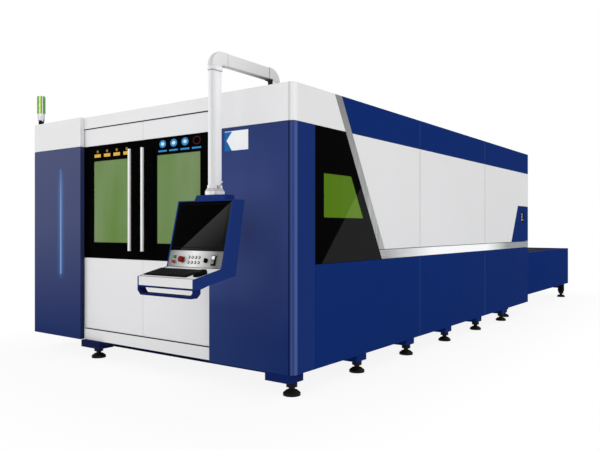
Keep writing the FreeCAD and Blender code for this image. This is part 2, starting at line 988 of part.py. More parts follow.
def make_rear_station():
    """Dark button station let into the tail panel, with one stop button that travels."""
    station = body("rear_station")
    floor = half - size.station_recess
    face = floor + size.station_recess / 2
    pad(station, "YZ", floor, face, [station_outline(size.running_gap)])
    near = size.body_length - size.station_tail_margin - size.station_width / 2
    top = size.station_low + size.station_height
    spot = size.station_height / 5
    lamps = [(near - spot / 2, top - spot * step, spot / 4) for step in (1, 2, 3)]
    pad(station, "YZ", face, face + size.station_rise / 2, lamps)
    stop_y = near + spot
    stop_z = size.station_low + spot
    hole = (stop_y, stop_z, size.stem_radius + size.stem_gap)
    pocket(station, "YZ", floor, face, [hole])

    button = body("rear_stop_button")
    cap_low = face + size.station_rise / 2
    cap_high = face + size.station_rise
    pad(button, "YZ", cap_low, cap_high, [(stop_y, stop_z, size.station_radius)])
    stem_foot = face - size.stem_length
    pad(button, "YZ", stem_foot, cap_low, [(stop_y, stop_z, size.stem_radius)])
    return station


def make_lower_side_panels():
    """Blue covers along the foot of the right side."""
    low, high = size.skirt_height, size.belt_line - size.joint_gap
    start = size.corner_reach + size.joint_gap
    loops = [tray(near, low, far, high) for near, far in seam_spans(start)]
    return side_plate("lower_side_panels", loops)


def make_left_side_panels():
    """Covers of the left side: blue below the belt line, white above it."""
    cover = body("left_side_panels")
    levels = (
        (size.skirt_height, size.belt_line - size.joint_gap),
        (size.belt_line, size.body_height),
    )
    start = size.panel_depth + size.joint_gap
    trays = [tray(near, low, far, high) for low, high in levels for near, far in seam_spans(start)]
    pad(cover, "YZ", -half, -inner_half, [outline for outline, hollow in trays])
    pocket(cover, "YZ", size.panel_skin - half, -inner_half, [hollow for outline, hollow in trays])
    return cover


def make_side_glass():
    """Black glass of the right side with the opening for its window."""
    glass = body("side_glass")
    low, high = size.belt_line, cap_line
    near = size.corner_reach + size.joint_gap
    edge = size.panel_flange
    gap = size.joint_gap
    outline = [
        (near, low),
        (trim_edge(low) - gap, low),
        (trim_edge(high) - gap, high),
        (near, high),
    ]
    hollow = [
        (near + edge, low + edge),
        (trim_edge(low + edge) - edge * 2, low + edge),
        (trim_edge(high - edge) - edge * 2, high - edge),
        (near + edge, high - edge),
    ]
    pad(glass, "YZ", inner_half, half, [outline])
    pocket(glass, "YZ", inner_half, half - size.side_skin, [hollow])
    pocket(glass, "YZ", half - size.side_skin, half, [pane_outline(0)])
    return glass


def pane_outline(gap):
    """Outline of the slanted side window, drawn in by a gap."""
    near, low = size.pane_front + gap, size.pane_low + gap
    high = size.pane_low + size.pane_height - gap
    margin = size.pane_trim_margin + gap
    return [
        (near, low),
        (trim_edge(low) - margin, low),
        (trim_edge(high) - margin, high),
        (near, high),
    ]


def make_side_window():
    """Green pane in the side glass."""
    pane = body("side_window")
    pad(pane, "YZ", half - size.side_skin, half - size.panel_skin, [pane_outline(size.running_gap)])
    return pane


def make_roof_panels():
    """Three roof trays between the side covers."""
    roof = body("roof_panels")
    low, high = size.body_height - size.panel_depth, size.body_height
    side = inner_half - size.joint_gap
    start = size.frame_setback + size.joint_gap
    spans = list(seam_spans(start))
    spans[2] = (spans[2][0], size.body_length - size.panel_depth - size.joint_gap)
    plates = [rectangle(-side, near, side, far) for near, far in spans]
    pad(roof, "XY", low, high, plates)
    hollows = [inset(-side, near, side, far) for near, far in spans]
    pocket(roof, "XY", low, high - size.panel_skin, hollows)
    return roof


def make_rear_wall():
    """End wall of the cabin with the mouth that the pallets pass through."""
    wall = body("rear_wall")
    near, far = size.body_length - size.panel_depth, size.body_length
    side = inner_half - size.joint_gap
    mouth_low = half - size.mouth_left
    mouth_high = half - size.mouth_right
    outline = [
        (-side, size.skirt_height),
        (mouth_low, size.skirt_height),
        (mouth_low, size.mouth_top),
        (mouth_high, size.mouth_top),
        (mouth_high, size.skirt_height),
        (side, size.skirt_height),
        (side, size.body_height),
        (-side, size.body_height),
    ]
    pad(wall, "XZ", near, far, [outline])
    return wall


def make_rear_gate():
    """Lifting gate behind the mouth, with a stiffening fold along its foot."""
    gate = body("rear_gate")
    far = size.body_length - size.panel_depth - size.running_gap
    near = far - size.gate_thickness
    left = half - size.mouth_left - size.gate_lap
    right = half - size.mouth_right + size.gate_lap
    low, high = size.gate_low, size.gate_low + size.gate_height
    pad(gate, "XZ", near, far, [rectangle(left, low, right, high)])
    pocket(gate, "XZ", near, far - size.panel_skin, [inset(left, low, right, high)])
    return gate


# ---------------------------------------------------------------- bed, gantry and head

def rail_centres():
    """X of the two gantry rails."""
    return (bed_left + size.beam_width / 2, bed_right - size.beam_width / 2)


def make_bed_rails():
    """Linear rails on the two bed beams, waisted below their heads."""
    rails = body("bed_rails")
    low, high = size.bed_top, size.bed_top + size.rail_height
    wide = size.rail_width / 2
    slim = wide - size.rail_width / 6
    loops = []
    for centre in rail_centres():
        shoulder = low + size.rail_height / 3
        neck = low + size.rail_height * 2 / 3
        loops.append([
            (centre - wide, low),
            (centre + wide, low),
            (centre + wide, shoulder),
            (centre + slim, shoulder),
            (centre + slim, neck),
            (centre + wide, neck),
            (centre + wide, high),
            (centre - wide, high),
            (centre - wide, neck),
            (centre - slim, neck),
            (centre - slim, shoulder),
            (centre - wide, shoulder),
        ])
    pad(rails, "XZ", size.bed_front, size.bed_rear, loops)
    return rails


def make_bed_racks():
    """Toothed racks on the inner faces of the bed beams, teeth down."""
    racks = body("bed_racks")
    high = size.bed_top - size.rack_tooth
    low = high - size.rack_height
    left = bed_left + size.beam_width
    right = bed_right - size.beam_width
    bars = [
        rectangle(left, low, left + size.rack_width, high),
        rectangle(right - size.rack_width, low, right, high),
    ]
    near = size.bed_front
    pad(racks, "XZ", near, size.bed_rear, bars)
    tooth = [
        (near + size.rack_spacing / 4, low),
        (near + size.rack_spacing / 2, low - size.rack_tooth),
        (near + size.rack_spacing * 3 / 4, low - size.rack_tooth),
        (near + size.rack_spacing, low),
    ]
    count = int((size.bed_rear - size.bed_front).value / size.rack_spacing.value)
    for start, end in ((left, left + size.rack_width), (right - size.rack_width, right)):
        first = pad(racks, "YZ", start, end, [tooth])
        repeat(racks, first, "Y", size.rack_spacing, count)
    return racks


def gantry_low():
    """Underside of the gantry beam."""
    return size.bed_top + size.rail_height + size.shoe_height


def make_gantry_beam():
    """Hollow cross beam with chamfered edges, end shoes round the rails and guides in front."""
    beam = body("gantry_beam")
    near, far = size.gantry_front, size.gantry_front + size.gantry_depth
    low, high = gantry_low(), gantry_low() + size.gantry_height
    wall = size.gantry_wall
    cut = size.gantry_wall * 2
    outside = [
        (near, low),
        (far - cut, low),
        (far, low + cut),
        (far, high - cut),
        (far - cut, high),
        (near, high),
    ]
    inside = rectangle(near + wall, low + wall, far - wall * 2, high - wall * 2)
    left, right = bed_left, bed_right - wall
    pad(beam, "YZ", left, right, [outside, inside])
    shoe_near = near + (size.gantry_depth - size.shoe_length) / 2
    rail_top = size.bed_top + size.rail_height + size.running_gap
    grip = rail_top - size.rail_height / 3
    groove = size.rail_width / 2 + size.running_gap
    shoe_half = size.shoe_width / 2
    for centre in rail_centres():
        shoe = [
            (centre - shoe_half, grip),
            (centre - groove, grip),
            (centre - groove, rail_top),
            (centre + groove, rail_top),
            (centre + groove, grip),
            (centre + shoe_half, grip),
            (centre + shoe_half, low),
            (centre - shoe_half, low),
        ]
        pad(beam, "XZ", shoe_near, shoe_near + size.shoe_length, [shoe])
    guide_left, guide_right = rail_centres()
    for level in guide_levels():
        guide = rectangle(guide_left, level, guide_right, level + size.guide_width)
        pad(beam, "XZ", near - size.guide_depth, near, [guide])
    return beam


def guide_levels():
    """Heights of the two guides on the front of the gantry beam."""
    lower = gantry_low() + size.guide_inset
    upper = gantry_low() + size.gantry_height - size.guide_inset - size.guide_width
    return lower, upper


def make_head_carriage():
    """Plate that runs along the gantry beam, grooved for its guides."""
    carriage = body("head_carriage")
    back = size.gantry_front - size.joint_gap
    face = size.gantry_front - size.guide_depth - size.running_gap
    near = face - size.carriage_thickness
    left = bed_middle - size.carriage_width / 2
    right = left + size.carriage_width
    low = guide_levels()[0] - size.guide_width
    high = guide_levels()[1] + size.guide_width * 2
    pad(carriage, "XZ", near, face, [rectangle(left, low, right, high)])
    gap = size.running_gap
    guide_low, guide_high = guide_levels()
    land = rectangle(
        left, guide_low + size.guide_width + gap, right, guide_high - gap
    )
    pad(carriage, "XZ", face, back, [land])
    return carriage


def carriage_face():
    """Y of the carriage's front face."""
    return size.gantry_front - size.guide_depth - size.running_gap - size.carriage_thickness


def make_head_slide():
    """Vertical slide on the carriage that carries the cutting head."""
    slide = body("head_slide")
    far = carriage_face() - size.running_gap
    near = far - size.carriage_thickness
    left = bed_middle - size.slide_width / 2
    low = guide_levels()[0]
    high = guide_levels()[1] + size.guide_width + size.slide_rise
    face = rectangle(left, low, left + size.slide_width, high)
    pad(slide, "XZ", near, far, [face])
    return slide


def make_cutting_head():
    """Laser cutting head: collimator, body, lens drawer and nozzle turned in one profile."""
    head = body("cutting_head")
    slide_face = carriage_face() - size.running_gap - size.carriage_thickness
    axis_y = slide_face - size.head_radius
    radius = size.head_radius
    tip = size.nozzle_height
    top = size.head_top
    neck = radius * 0.55
    profile = [
        (0, tip),
        (radius / 10, tip),
        (radius / 4, tip + radius / 2),
        (radius * 0.6, tip + radius * 1.5),
        (radius * 0.6, tip + radius * 2),
        (radius, tip + radius * 2.2),
        (radius, top - radius * 1.6),
        (neck, top - radius * 1.2),
        (neck, top),
        (0, top),
    ]
    turn(head, "XZ", [profile], (bed_middle, 0, -axis_y))
    grip = rectangle(
        bed_middle - radius, guide_levels()[0], bed_middle + radius, guide_levels()[1]
    )
    pad(head, "XZ", axis_y, slide_face, [grip])
    return head


# ---------------------------------------------------------------- shuttle table and pallets

def make_table_frame():
    """Folded side sheets, end sheet, ledges on two levels, leg beams and legs."""
    low, high = size.table_low, size.table_low + size.table_height
    skin, flange = size.table_skin, size.table_flange
    start, end = size.bed_rear, size.table_rear
    sides = member("table_sides")
    ledges = member("table_ledges")
    for side, edge in ((1, bed_right), (-1, bed_left)):
        inner = edge - side * skin
        tip = edge - side * flange
        channel = [
            (edge, low),
            (edge, high),
            (tip, high),
            (tip, high - skin),
            (inner, high - skin),
            (inner, low + skin),
            (tip, low + skin),
            (tip, low),
        ]
        pad(sides, "XZ", start, end - skin, [channel])
        wheel_side = edge - side * (size.beam_width + size.ledge_reach)
        ends = sorted((inner, wheel_side), key=lambda place: place.value)
        for level in (ledge_level(0), ledge_level(size.deck_drop)):
            shelf = rectangle(ends[0], level - size.ledge_thickness, ends[1], level)
            pad(ledges, "XZ", start, end - size.pallet_clearance, [shelf])
    end_sheet = member("table_end_sheet")
    pad(end_sheet, "XZ", end - skin, end, [rectangle(bed_left, low, bed_right, high)])
    left, right = bed_left + skin, bed_right - skin
    half_leg = size.leg_width / 2
    beams = member("table_leg_beams")
    legs = member("table_legs")
    reach = size.table_foot_inset - skin
    centres = (bed_left + size.table_foot_inset, bed_right - size.table_foot_inset)
    for place in (size.table_first_foot, size.table_last_foot):
        near, far = place - half_leg, place + half_leg
        beam = rectangle(left, size.skirt_height, right, low)
        pad(beams, "XZ", near, far, [beam])
        stumps = [rectangle(centre - reach, near, centre + reach, far) for centre in centres]
        pad(legs, "XY", size.block_low, size.skirt_height, stumps)
    return gathered("table_frame", [sides, ledges, end_sheet, beams, legs])


def make_pallet(name, slat_name, drop, shift):
    """Rolling pallet frame and its rows of saw-tooth slats."""
    frame = body(name)
    near = pallet_start(shift)
    far = near + size.pallet_length
    left = bed_middle - size.pallet_width / 2
    right = bed_middle + size.pallet_width / 2
    seat = size.deck_height - size.slat_height - drop
    low = seat - size.bearer_height
    high = low + size.member_height
    member = size.member_width
    outside = rectangle(left, near, right, far)
    inside = rectangle(left + member, near + member, right - member, far - member)
    pad(frame, "XY", low, high, [outside, inside])
    spacing = (size.pallet_width - member * 2) / 4
    bearers = []
    for step in (1, 2, 3):
        centre = left + member + spacing * step
        reach = size.bearer_width / 2
        bearers.append(rectangle(centre - reach, low, centre + reach, seat))
    pad(frame, "XZ", near + member, far - member, bearers)
    axle = ledge_level(drop) + size.running_gap + size.wheel_radius
    spread = (size.pallet_length - size.wheel_radius * 4) / 3
    for start, end in ((left - size.wheel_width, left), (right, right + size.wheel_width)):
        wheel = pad(frame, "YZ", start, end, [(near + size.wheel_radius * 2, axle, size.wheel_radius)])
        repeat(frame, wheel, "Y", spread, 4)

    slats = body(slat_name)
    count = SIZES["tooth_count"]
    reach = size.pallet_width - member * 2 - size.joint_gap * 2
    start_x = left + member + size.joint_gap
    step = reach / size.tooth_count
    tip = size.deck_height - drop
    root = tip - size.tooth_depth
    outline = [(start_x, seat), (start_x + reach, seat), (start_x + reach, root)]
    for number in range(count - 1, -1, -1):
        outline.append((start_x + step * (number + 0.5), tip))
        outline.append((start_x + step * number, root))
    slack = size.pallet_length - member * 2 - size.slat_spacing * (size.slat_count - 1)
    first = near + member + slack / 2
    slat = pad(slats, "XZ", first, first + size.slat_thickness, [outline])
    repeat(slats, slat, "Y", size.slat_spacing, size.slat_count)
    return frame


# ---------------------------------------------------------------- swing arm

def make_arm_base():
    """Bearing flange bolted to the roof."""
    base = body("arm_base")
    low = size.body_height
    flange_top = low + size.base_height
    neck = size.base_radius * 0.7
    profile = [
        (0, low),
        (size.base_radius, low),
        (size.base_radius, flange_top),
        (neck, flange_top),
        (neck, flange_top + size.base_neck),
        (0, flange_top + size.base_neck),
    ]
    turn(base, "XZ", [profile], (arm_middle, 0, -size.arm_base_back))
    return base


def make_support_arm():
    """Swing arm: flat box section between two larger cast elbows, with a stepped foot."""
    arm = body("support_arm")
    wide = size.arm_width / 2
    deep = size.arm_deep / 2
    left, right = arm_middle - wide, arm_middle + wide
    bend = size.arm_bend
    level = size.body_height + size.arm_neck_height
    rear_y = size.arm_base_back
    drop_y = -size.arm_drop_front
    neck_low = size.body_height + size.base_height + size.base_neck + size.running_gap
    rear_axis = rear_y - deep - bend
    front_axis = drop_y + deep + bend
    sleeve_low = size.flange_low + size.flange_height

    proud = size.arm_collar
    collar = size.arm_collar_length
    low_x, high_x = left - proud, right + proud
    inner, outer = bend - proud, bend + size.arm_deep + proud
    around = rectangle(low_x, drop_y - deep - proud, high_x, drop_y + deep + proud)
    socket = rectangle(low_x, rear_y - deep - proud, high_x, rear_y + deep + proud)
    pad(arm, "XY", sleeve_low, level, [rectangle(left, drop_y - deep, right, drop_y + deep)])
    beam = rectangle(left, level + bend, right, level + bend + size.arm_deep)
    pad(arm, "XZ", front_axis, rear_axis, [beam])
    pad(arm, "XY", neck_low, level, [socket])
    rear_section = rectangle(low_x, inner, high_x, outer)
    turn(arm, "XY", [rear_section], (0, rear_axis, level), "H_Axis", 90)
    front_section = rectangle(low_x, -outer, high_x, -inner)
    turn(arm, "XY", [front_section], (0, front_axis, level), "H_Axis", 90, True)
    pad(arm, "XY", level - collar, level, [around])
    pad(arm, "XY", sleeve_low, sleeve_low + size.sleeve_height, [around])
    sleeve = rectangle(low_x, level + inner, high_x, level + outer)
    pad(arm, "XZ", front_axis, front_axis + collar, [sleeve])
    pad(arm, "XZ", rear_axis - collar / 2, rear_axis, [sleeve])
    flange_half, flange_deep = size.flange_width / 2, size.flange_deep / 2
    flange = rectangle(
        arm_middle - flange_half, drop_y - flange_deep,
        arm_middle + flange_half, drop_y + flange_deep,
    )
    pad(arm, "XY", size.flange_low, sleeve_low, [flange])
    return arm


def make_clamp_lever():
    """Small lever that clamps the swivel at the foot of the arm."""
    lever = body("clamp_lever")
    face = arm_middle + size.arm_width / 2 + size.arm_collar + size.running_gap
    centre_y = -size.arm_drop_front
    centre_z = size.flange_low + size.flange_height + size.sleeve_height / 2
    hub = size.lever_radius
    pad(lever, "YZ", face, face + size.lever_hub, [(centre_y, centre_z, hub)])
    rod = hub * 0.4
    outline = [
        (face + size.lever_hub - rod * 2, centre_z),
        (face + size.lever_hub, centre_z),
        (face + size.lever_hub + size.lever_rise, centre_z + size.lever_length),
        (face + size.lever_hub + size.lever_rise - rod * 2, centre_z + size.lever_length),
    ]
    pad(lever, "XZ", centre_y - rod, centre_y + rod, [outline])
    return lever


# ---------------------------------------------------------------- console

console_lean = tangent(size.console_tilt)
console_middle = arm_middle - size.console_offset
console_left = console_middle - size.console_width / 2
console_right = console_middle + size.console_width / 2
tray_rear_level = size.panel_foot - size.joint_gap


def console_face(level):
    """Y of the console's slanted front at a height."""
    return -size.console_front - (size.console_top - level) * console_lean


def tray_front_level():
    """Height of the keyboard tray's top at its front edge."""
    return tray_rear_level - size.tray_drop


def tray_slope():
    """Fall of the tray for each millimetre towards the operator."""
    run = size.console_reach + console_face(size.panel_foot)
    return size.tray_drop / run


def make_console_housing():
    """Blue housing: two cheeks with the full side outline and a body set in between them."""
    housing = body("console_housing")
    skin = size.cheek
    side = size.cheek_width
    top = size.console_top
    foot = size.panel_foot
    lip = size.tray_lip - size.cheek
    back_top = -size.console_front + size.console_thick
    back_low = console_face(size.tray_lip + size.housing_rise) + size.console_thick * 1.3
    belly = -size.console_reach + size.console_thick * 1.25
    keel = size.tray_lip + size.loop_depth
    front = -size.console_reach
    loop_back = front + size.loop_depth
    outline = [
        (console_face(top), top),
        (console_face(foot), tray_rear_level),
        (front, tray_front_level()),
        (front, lip),
        (loop_back, lip),
        (belly, lip + skin * 2.5),
        (back_low, keel),
        (back_top, top),
    ]
    pad(housing, "YZ", console_left, console_left + side, [outline])
    pad(housing, "YZ", console_right - side, console_right, [outline])
    middle = [
        (console_face(top) + skin, top),
        (console_face(foot) + skin, tray_rear_level),
        (console_face(foot) + skin, tray_under(console_face(foot) + skin)),
        (loop_back, tray_under(loop_back)),
        (loop_back, lip),
        (belly, lip + skin * 2.5),
        (back_low, keel),
        (back_top, top),
    ]
    pad(housing, "YZ", console_left + side, console_right - side, [middle])
    neck_half = size.neck_width / 2
    neck_top = size.flange_low - size.running_gap
    neck = [
        (arm_middle - neck_half, top),
        (arm_middle + neck_half, top),
        (arm_middle + neck_half - size.neck_chamfer / 4, neck_top),
        (arm_middle - neck_half + size.neck_chamfer, neck_top),
    ]
    neck_front = -size.console_front + skin
    pad(housing, "XZ", neck_front, back_top, [neck])
    return housing


def tray_under(place):
    """Height of the tray's underside at a distance in front of the cabin."""
    return size.tray_lip + (place + size.console_reach) * tray_slope()


def make_keyboard_tray():
    """White tray between the cheeks, with a deep front lip."""
    tray_body = body("keyboard_tray")
    skin = size.cheek
    rear = console_face(size.panel_foot) + skin
    front = -size.console_reach
    outline = [
        (front, size.tray_lip),
        (rear, tray_under(rear)),
        (rear, tray_rear_level),
        (front, tray_front_level()),
    ]
    left = console_left + size.cheek_width + size.running_gap
    right = console_right - size.cheek_width - size.running_gap
    pad(tray_body, "YZ", left, right, [outline])
    return tray_body


def slanted_plate(name, high, low):
    """A plate set into the console's slanted front between two heights."""
    plate = body(name)
    skin = size.cheek
    outline = [
        (console_face(high), high),
        (console_face(low), low),
        (console_face(low) + skin, low),
        (console_face(high) + skin, high),
    ]
    side = size.cheek_width + size.running_gap
    pad(plate, "YZ", console_left + side, console_right - side, [outline])
    return plate


def tilted_body(name, along, level, stand_off=0):
    """A body whose own Z axis stands square out of the slanted control panel."""
    part = body(name)
    part.Placement = FreeCAD.Placement(
        FreeCAD.Vector(), FreeCAD.Rotation(FreeCAD.Vector(1, 0, 0), 90 - size.console_tilt.value)
    )
    bind(part, ".Placement.Rotation.Angle", 90 - size.console_tilt)
    bind(part, ".Placement.Base.x", console_left + along)
    bind(part, ".Placement.Base.y", front_plane + console_face(level) - stand_off)
    bind(part, ".Placement.Base.z", level)
    return part


def press_button(name, along, level, radius, rise):
    """A round button on a stem that slides in the panel."""
    button = tilted_body(name, along, level)
    room = size.press_room
    crown = radius / 4
    profile = [
        (0, -size.stem_length),
        (size.stem_radius, -size.stem_length),
        (size.stem_radius, room),
        (radius, room),
        (radius, room + rise - crown),
        (radius - crown, room + rise),
        (0, room + rise),
    ]
    turn(button, "XZ", [profile])
    return button


def make_control_panel():
    """Brushed plate under the screen, bored for the stems of its controls."""
    low = tray_rear_level + size.joint_gap
    panel = slanted_plate("control_panel", size.screen_foot - seam_half, low)
    controls = (
        (size.stop_along, size.stop_level),
        (size.start_along, size.start_level),
        (size.halt_along, size.halt_level),
        (size.knob_along, size.knob_level),
    )
    bore = size.stem_radius + size.stem_gap
    holes = []
    for along, level in controls:
        drawing = panel.newObject("Sketcher::SketchObject", f"{panel.Name}_sketch")
        drawing.AttachmentSupport = [(origin_feature(panel, "XY_Plane"), "")]
        drawing.MapMode = "FlatFace"
        turned = FreeCAD.Rotation(FreeCAD.Vector(1, 0, 0), 90 - size.console_tilt.value)
        drawing.AttachmentOffset = FreeCAD.Placement(FreeCAD.Vector(), turned)
        bind(drawing, ".AttachmentOffset.Rotation.Angle", 90 - size.console_tilt)
        bind(drawing, ".AttachmentOffset.Base.x", console_left + along)
        bind(drawing, ".AttachmentOffset.Base.y", console_face(level))
        bind(drawing, ".AttachmentOffset.Base.z", level)
        draw_circle(drawing, 0, 0, bore)
        before = panel.Shape.Volume
        hole = panel.newObject("PartDesign::Pocket", f"{panel.Name}_bore")
        hole.Profile = drawing
        bind(hole, "Length", size.cheek * 2)
        hole.Midplane = True
        document.recompute()
        if not panel.Shape.Volume < before:
            raise RuntimeError("a bore in the control panel cuts nothing")
        holes.append(hole)
    return panel


def make_panel_buttons():
    """Two rows of small buttons seated on the panel."""
    buttons = tilted_body("panel_buttons", size.key_along, size.key_level)
    low = pad(buttons, "XY", 0, size.key_height, [(0, 0, size.key_radius)])
    row = repeat(buttons, low, "X", size.key_spacing, 4)
    high = pad(buttons, "XY", 0, size.key_height, [(0, size.key_row_spacing, size.key_radius)])
    repeat(buttons, high, "X", size.key_spacing, 4)
    return row


def make_selector_knob():
    """Rotary selector with a raised grip across it."""
    knob = tilted_body("selector_knob", size.knob_along, size.knob_level)
    gap = size.running_gap
    radius = size.knob_radius
    profile = [
        (0, -size.stem_length),
        (size.stem_radius, -size.stem_length),
        (size.stem_radius, gap),
        (radius, gap),
        (radius, size.knob_height / 3),
        (0, size.knob_height / 3),
    ]
    turn(knob, "XZ", [profile])
    grip = rectangle(-radius / 4, -radius * 0.9, radius / 4, radius * 0.9)
    pad(knob, "XY", size.knob_height / 3, size.knob_height, [grip])
    return knob


def make_port_cover():
    """Flap over the data port, hinged along its top edge."""
    cover = tilted_body("port_cover", size.cover_along, size.cover_level)
    gap = size.running_gap
    thick = size.cover_thickness
    face = rectangle(0, -size.cover_length, size.cover_width, 0)
    pad(cover, "XY", gap, thick, [face])
    edge = size.cover_thickness / 2
    rim = rectangle(edge, -size.cover_length + edge, size.cover_width - edge, -edge * 3)
    pad(cover, "XY", thick, thick + edge / 2, [rim])
    return cover


def tray_body_at(name, left, ahead):
    """A body that lies on the sloping keyboard tray."""
    part = body(name)
    slope = math.degrees(math.atan(tray_slope().value))
    turned = FreeCAD.Rotation(FreeCAD.Vector(1, 0, 0), slope)
    part.Placement = FreeCAD.Placement(FreeCAD.Vector(), turned)
    part.setExpression(".Placement.Rotation.Angle", f"atan({tray_slope().formula})")
    place = -size.console_reach + ahead
    bind(part, ".Placement.Base.x", left)
    bind(part, ".Placement.Base.y", front_plane + place)
    bind(part, ".Placement.Base.z", tray_front_level() + ahead * tray_slope())
    return part


def make_keyboard():
    """Keyboard with its keys parted by crossing grooves."""
    start = console_left + size.cheek_width + size.keyboard_margin
    keyboard = tray_body_at("keyboard", start, size.keyboard_setback)
    width, length = size.keyboard_width, size.keyboard_length
    thick, rise = size.keyboard_height, size.key_rise
    pad(keyboard, "XY", 0, thick, [rectangle(0, 0, width, length)])
    edge = size.cheek
    field = rectangle(edge, edge, width - edge, length - edge)
    pad(keyboard, "XY", thick, thick + rise, [field])
    groove = size.key_groove
    column = (width - edge * 2) / size.key_columns
    lane = rectangle(edge + column - groove / 2, edge, edge + column + groove / 2, length - edge)
    upright = pocket(keyboard, "XY", thick, thick + rise, [lane])
    repeat(keyboard, upright, "X", column, size.key_columns - 1)
    row = (length - edge * 2) / size.key_rows
    lane = rectangle(edge, edge + row - groove / 2, width - edge, edge + row + groove / 2)
    level = pocket(keyboard, "XY", thick, thick + rise, [lane])
    repeat(keyboard, level, "Y", row, size.key_rows - 1)
    return keyboard


def make_mouse():
    """Mouse with rounded back and sides, at rest on the tray."""
    start = console_right - size.cheek_width - size.keyboard_margin - size.mouse_width
    mouse = tray_body_at("mouse", start, size.mouse_setback)
    wide, length, tall = size.mouse_width, size.mouse_length, size.mouse_height
    pad(mouse, "XY", 0, tall, [rectangle(0, 0, wide, length)])
    round_off(mouse, tall * 0.6, [(0, 0, tall / 2), (wide, 0, tall / 2),
                                  (0, length, tall / 2), (wide, length, tall / 2)])
    round_off(mouse, tall * 0.4, [(wide / 2, 0, tall)])
    return mouse


def make_console_handle():
    """Closed strip loop under the tray that the operator pulls the console by."""
    handle = body("console_handle")
    top = size.tray_lip - size.cheek
    low = size.loop_low
    bar = size.loop_bar
    cut = size.loop_chamfer
    side = size.cheek_width
    left, right = console_left, console_right
    outline = [
        (left, top),
        (left, low + cut),
        (left + cut, low),
        (right - cut, low),
        (right, low + cut),
        (right, top),
        (right - side, top),
        (right - side, size.tray_lip),
        (left + side, size.tray_lip),
        (left + side, top),
    ]
    head = size.tray_lip - size.loop_head
    opening = [
        (left + bar, head),
        (left + bar, low + cut + bar / 2),
        (left + cut + bar / 2, low + bar),
        (right - cut - bar / 2, low + bar),
        (right - bar, low + cut + bar / 2),
        (right - bar, head),
    ]
    front = -size.console_reach
    pad(handle, "XZ", front, front + size.loop_depth, [outline, opening])
    return handle


# ---------------------------------------------------------------- signal tower

def make_signal_tower():
    """Foot and neck of the signal tower on the left cap, and its lamp."""
    place = (size.tower_inset - half, 0, -size.tower_setback)
    low = size.body_height
    foot_top = low + size.tower_foot_height
    neck_top = foot_top + size.tower_neck_height
    tower = body("signal_tower")
    profile = [
        (0, low),
        (size.tower_foot_radius, low),
        (size.tower_foot_radius, foot_top),
        (size.tower_neck_radius, foot_top),
        (size.tower_neck_radius, neck_top),
        (0, neck_top),
    ]
    turn(tower, "XZ", [profile], place)
    lamp = body("tower_lamp")
    radius = size.lamp_radius
    top = neck_top + size.lamp_height
    profile = [
        (0, neck_top),
        (radius, neck_top),
        (radius, top - radius / 4),
        (radius * 0.8, top),
        (0, top),
    ]
    turn(lamp, "XZ", [profile], place)
    return tower


make_room_frame()
make_bed_frame()
make_feet()
make_left_cabinet()
make_light_strip()
make_left_cap()
make_right_cabinet()
make_corner_cap()
make_front_fascia()
make_door_sill()
make_door(-1)
make_door(1)
make_side_glass()
make_side_window()
make_side_trim()
make_blue_band()
make_upper_side_panels()
make_tail_panel()
make_rear_station()
make_lower_side_panels()
make_left_side_panels()
make_roof_panels()
make_rear_wall()
make_rear_gate()
make_bed_rails()
make_bed_racks()
make_gantry_beam()
make_head_carriage()
make_head_slide()
make_cutting_head()
make_table_frame()
make_pallet("upper_pallet", "upper_slats", 0, size.shuttle_stroke)
make_pallet("lower_pallet", "lower_slats", size.deck_drop, 0)
make_arm_base()
make_support_arm()
make_clamp_lever()
make_console_housing()
make_keyboard_tray()
slanted_plate("console_screen", size.console_top - size.cheek, size.screen_foot + seam_half)
make_control_panel()
make_panel_buttons()
press_button("estop_button", size.stop_along, size.stop_level, size.stop_radius, size.stop_height)
press_button(
    "start_button", size.start_along, size.start_level, size.button_radius, size.button_height
)
press_button(
    "stop_button", size.halt_along, size.halt_level, size.button_radius, size.button_height
)
make_selector_knob()
make_port_cover()
make_keyboard()
make_mouse()
make_console_handle()
make_signal_tower()

document.recompute()

for item in document.Objects:
    if "Invalid" in item.State or "Error" in item.State:
        raise RuntimeError(f"{item.Label} did not compute: {item.State}")

os.makedirs("parts", exist_ok=True)
for name, piece in pieces.items():
    if piece.Shape.isNull() or not piece.Shape.isValid():
        raise RuntimeError(f"{name} has no valid shape")
    piece.Shape.exportStep(f"parts/{name}.step")
print(f"{len(pieces)} sub-parts written")
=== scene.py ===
import math

import bmesh
import bpy
from mathutils import Matrix, Vector


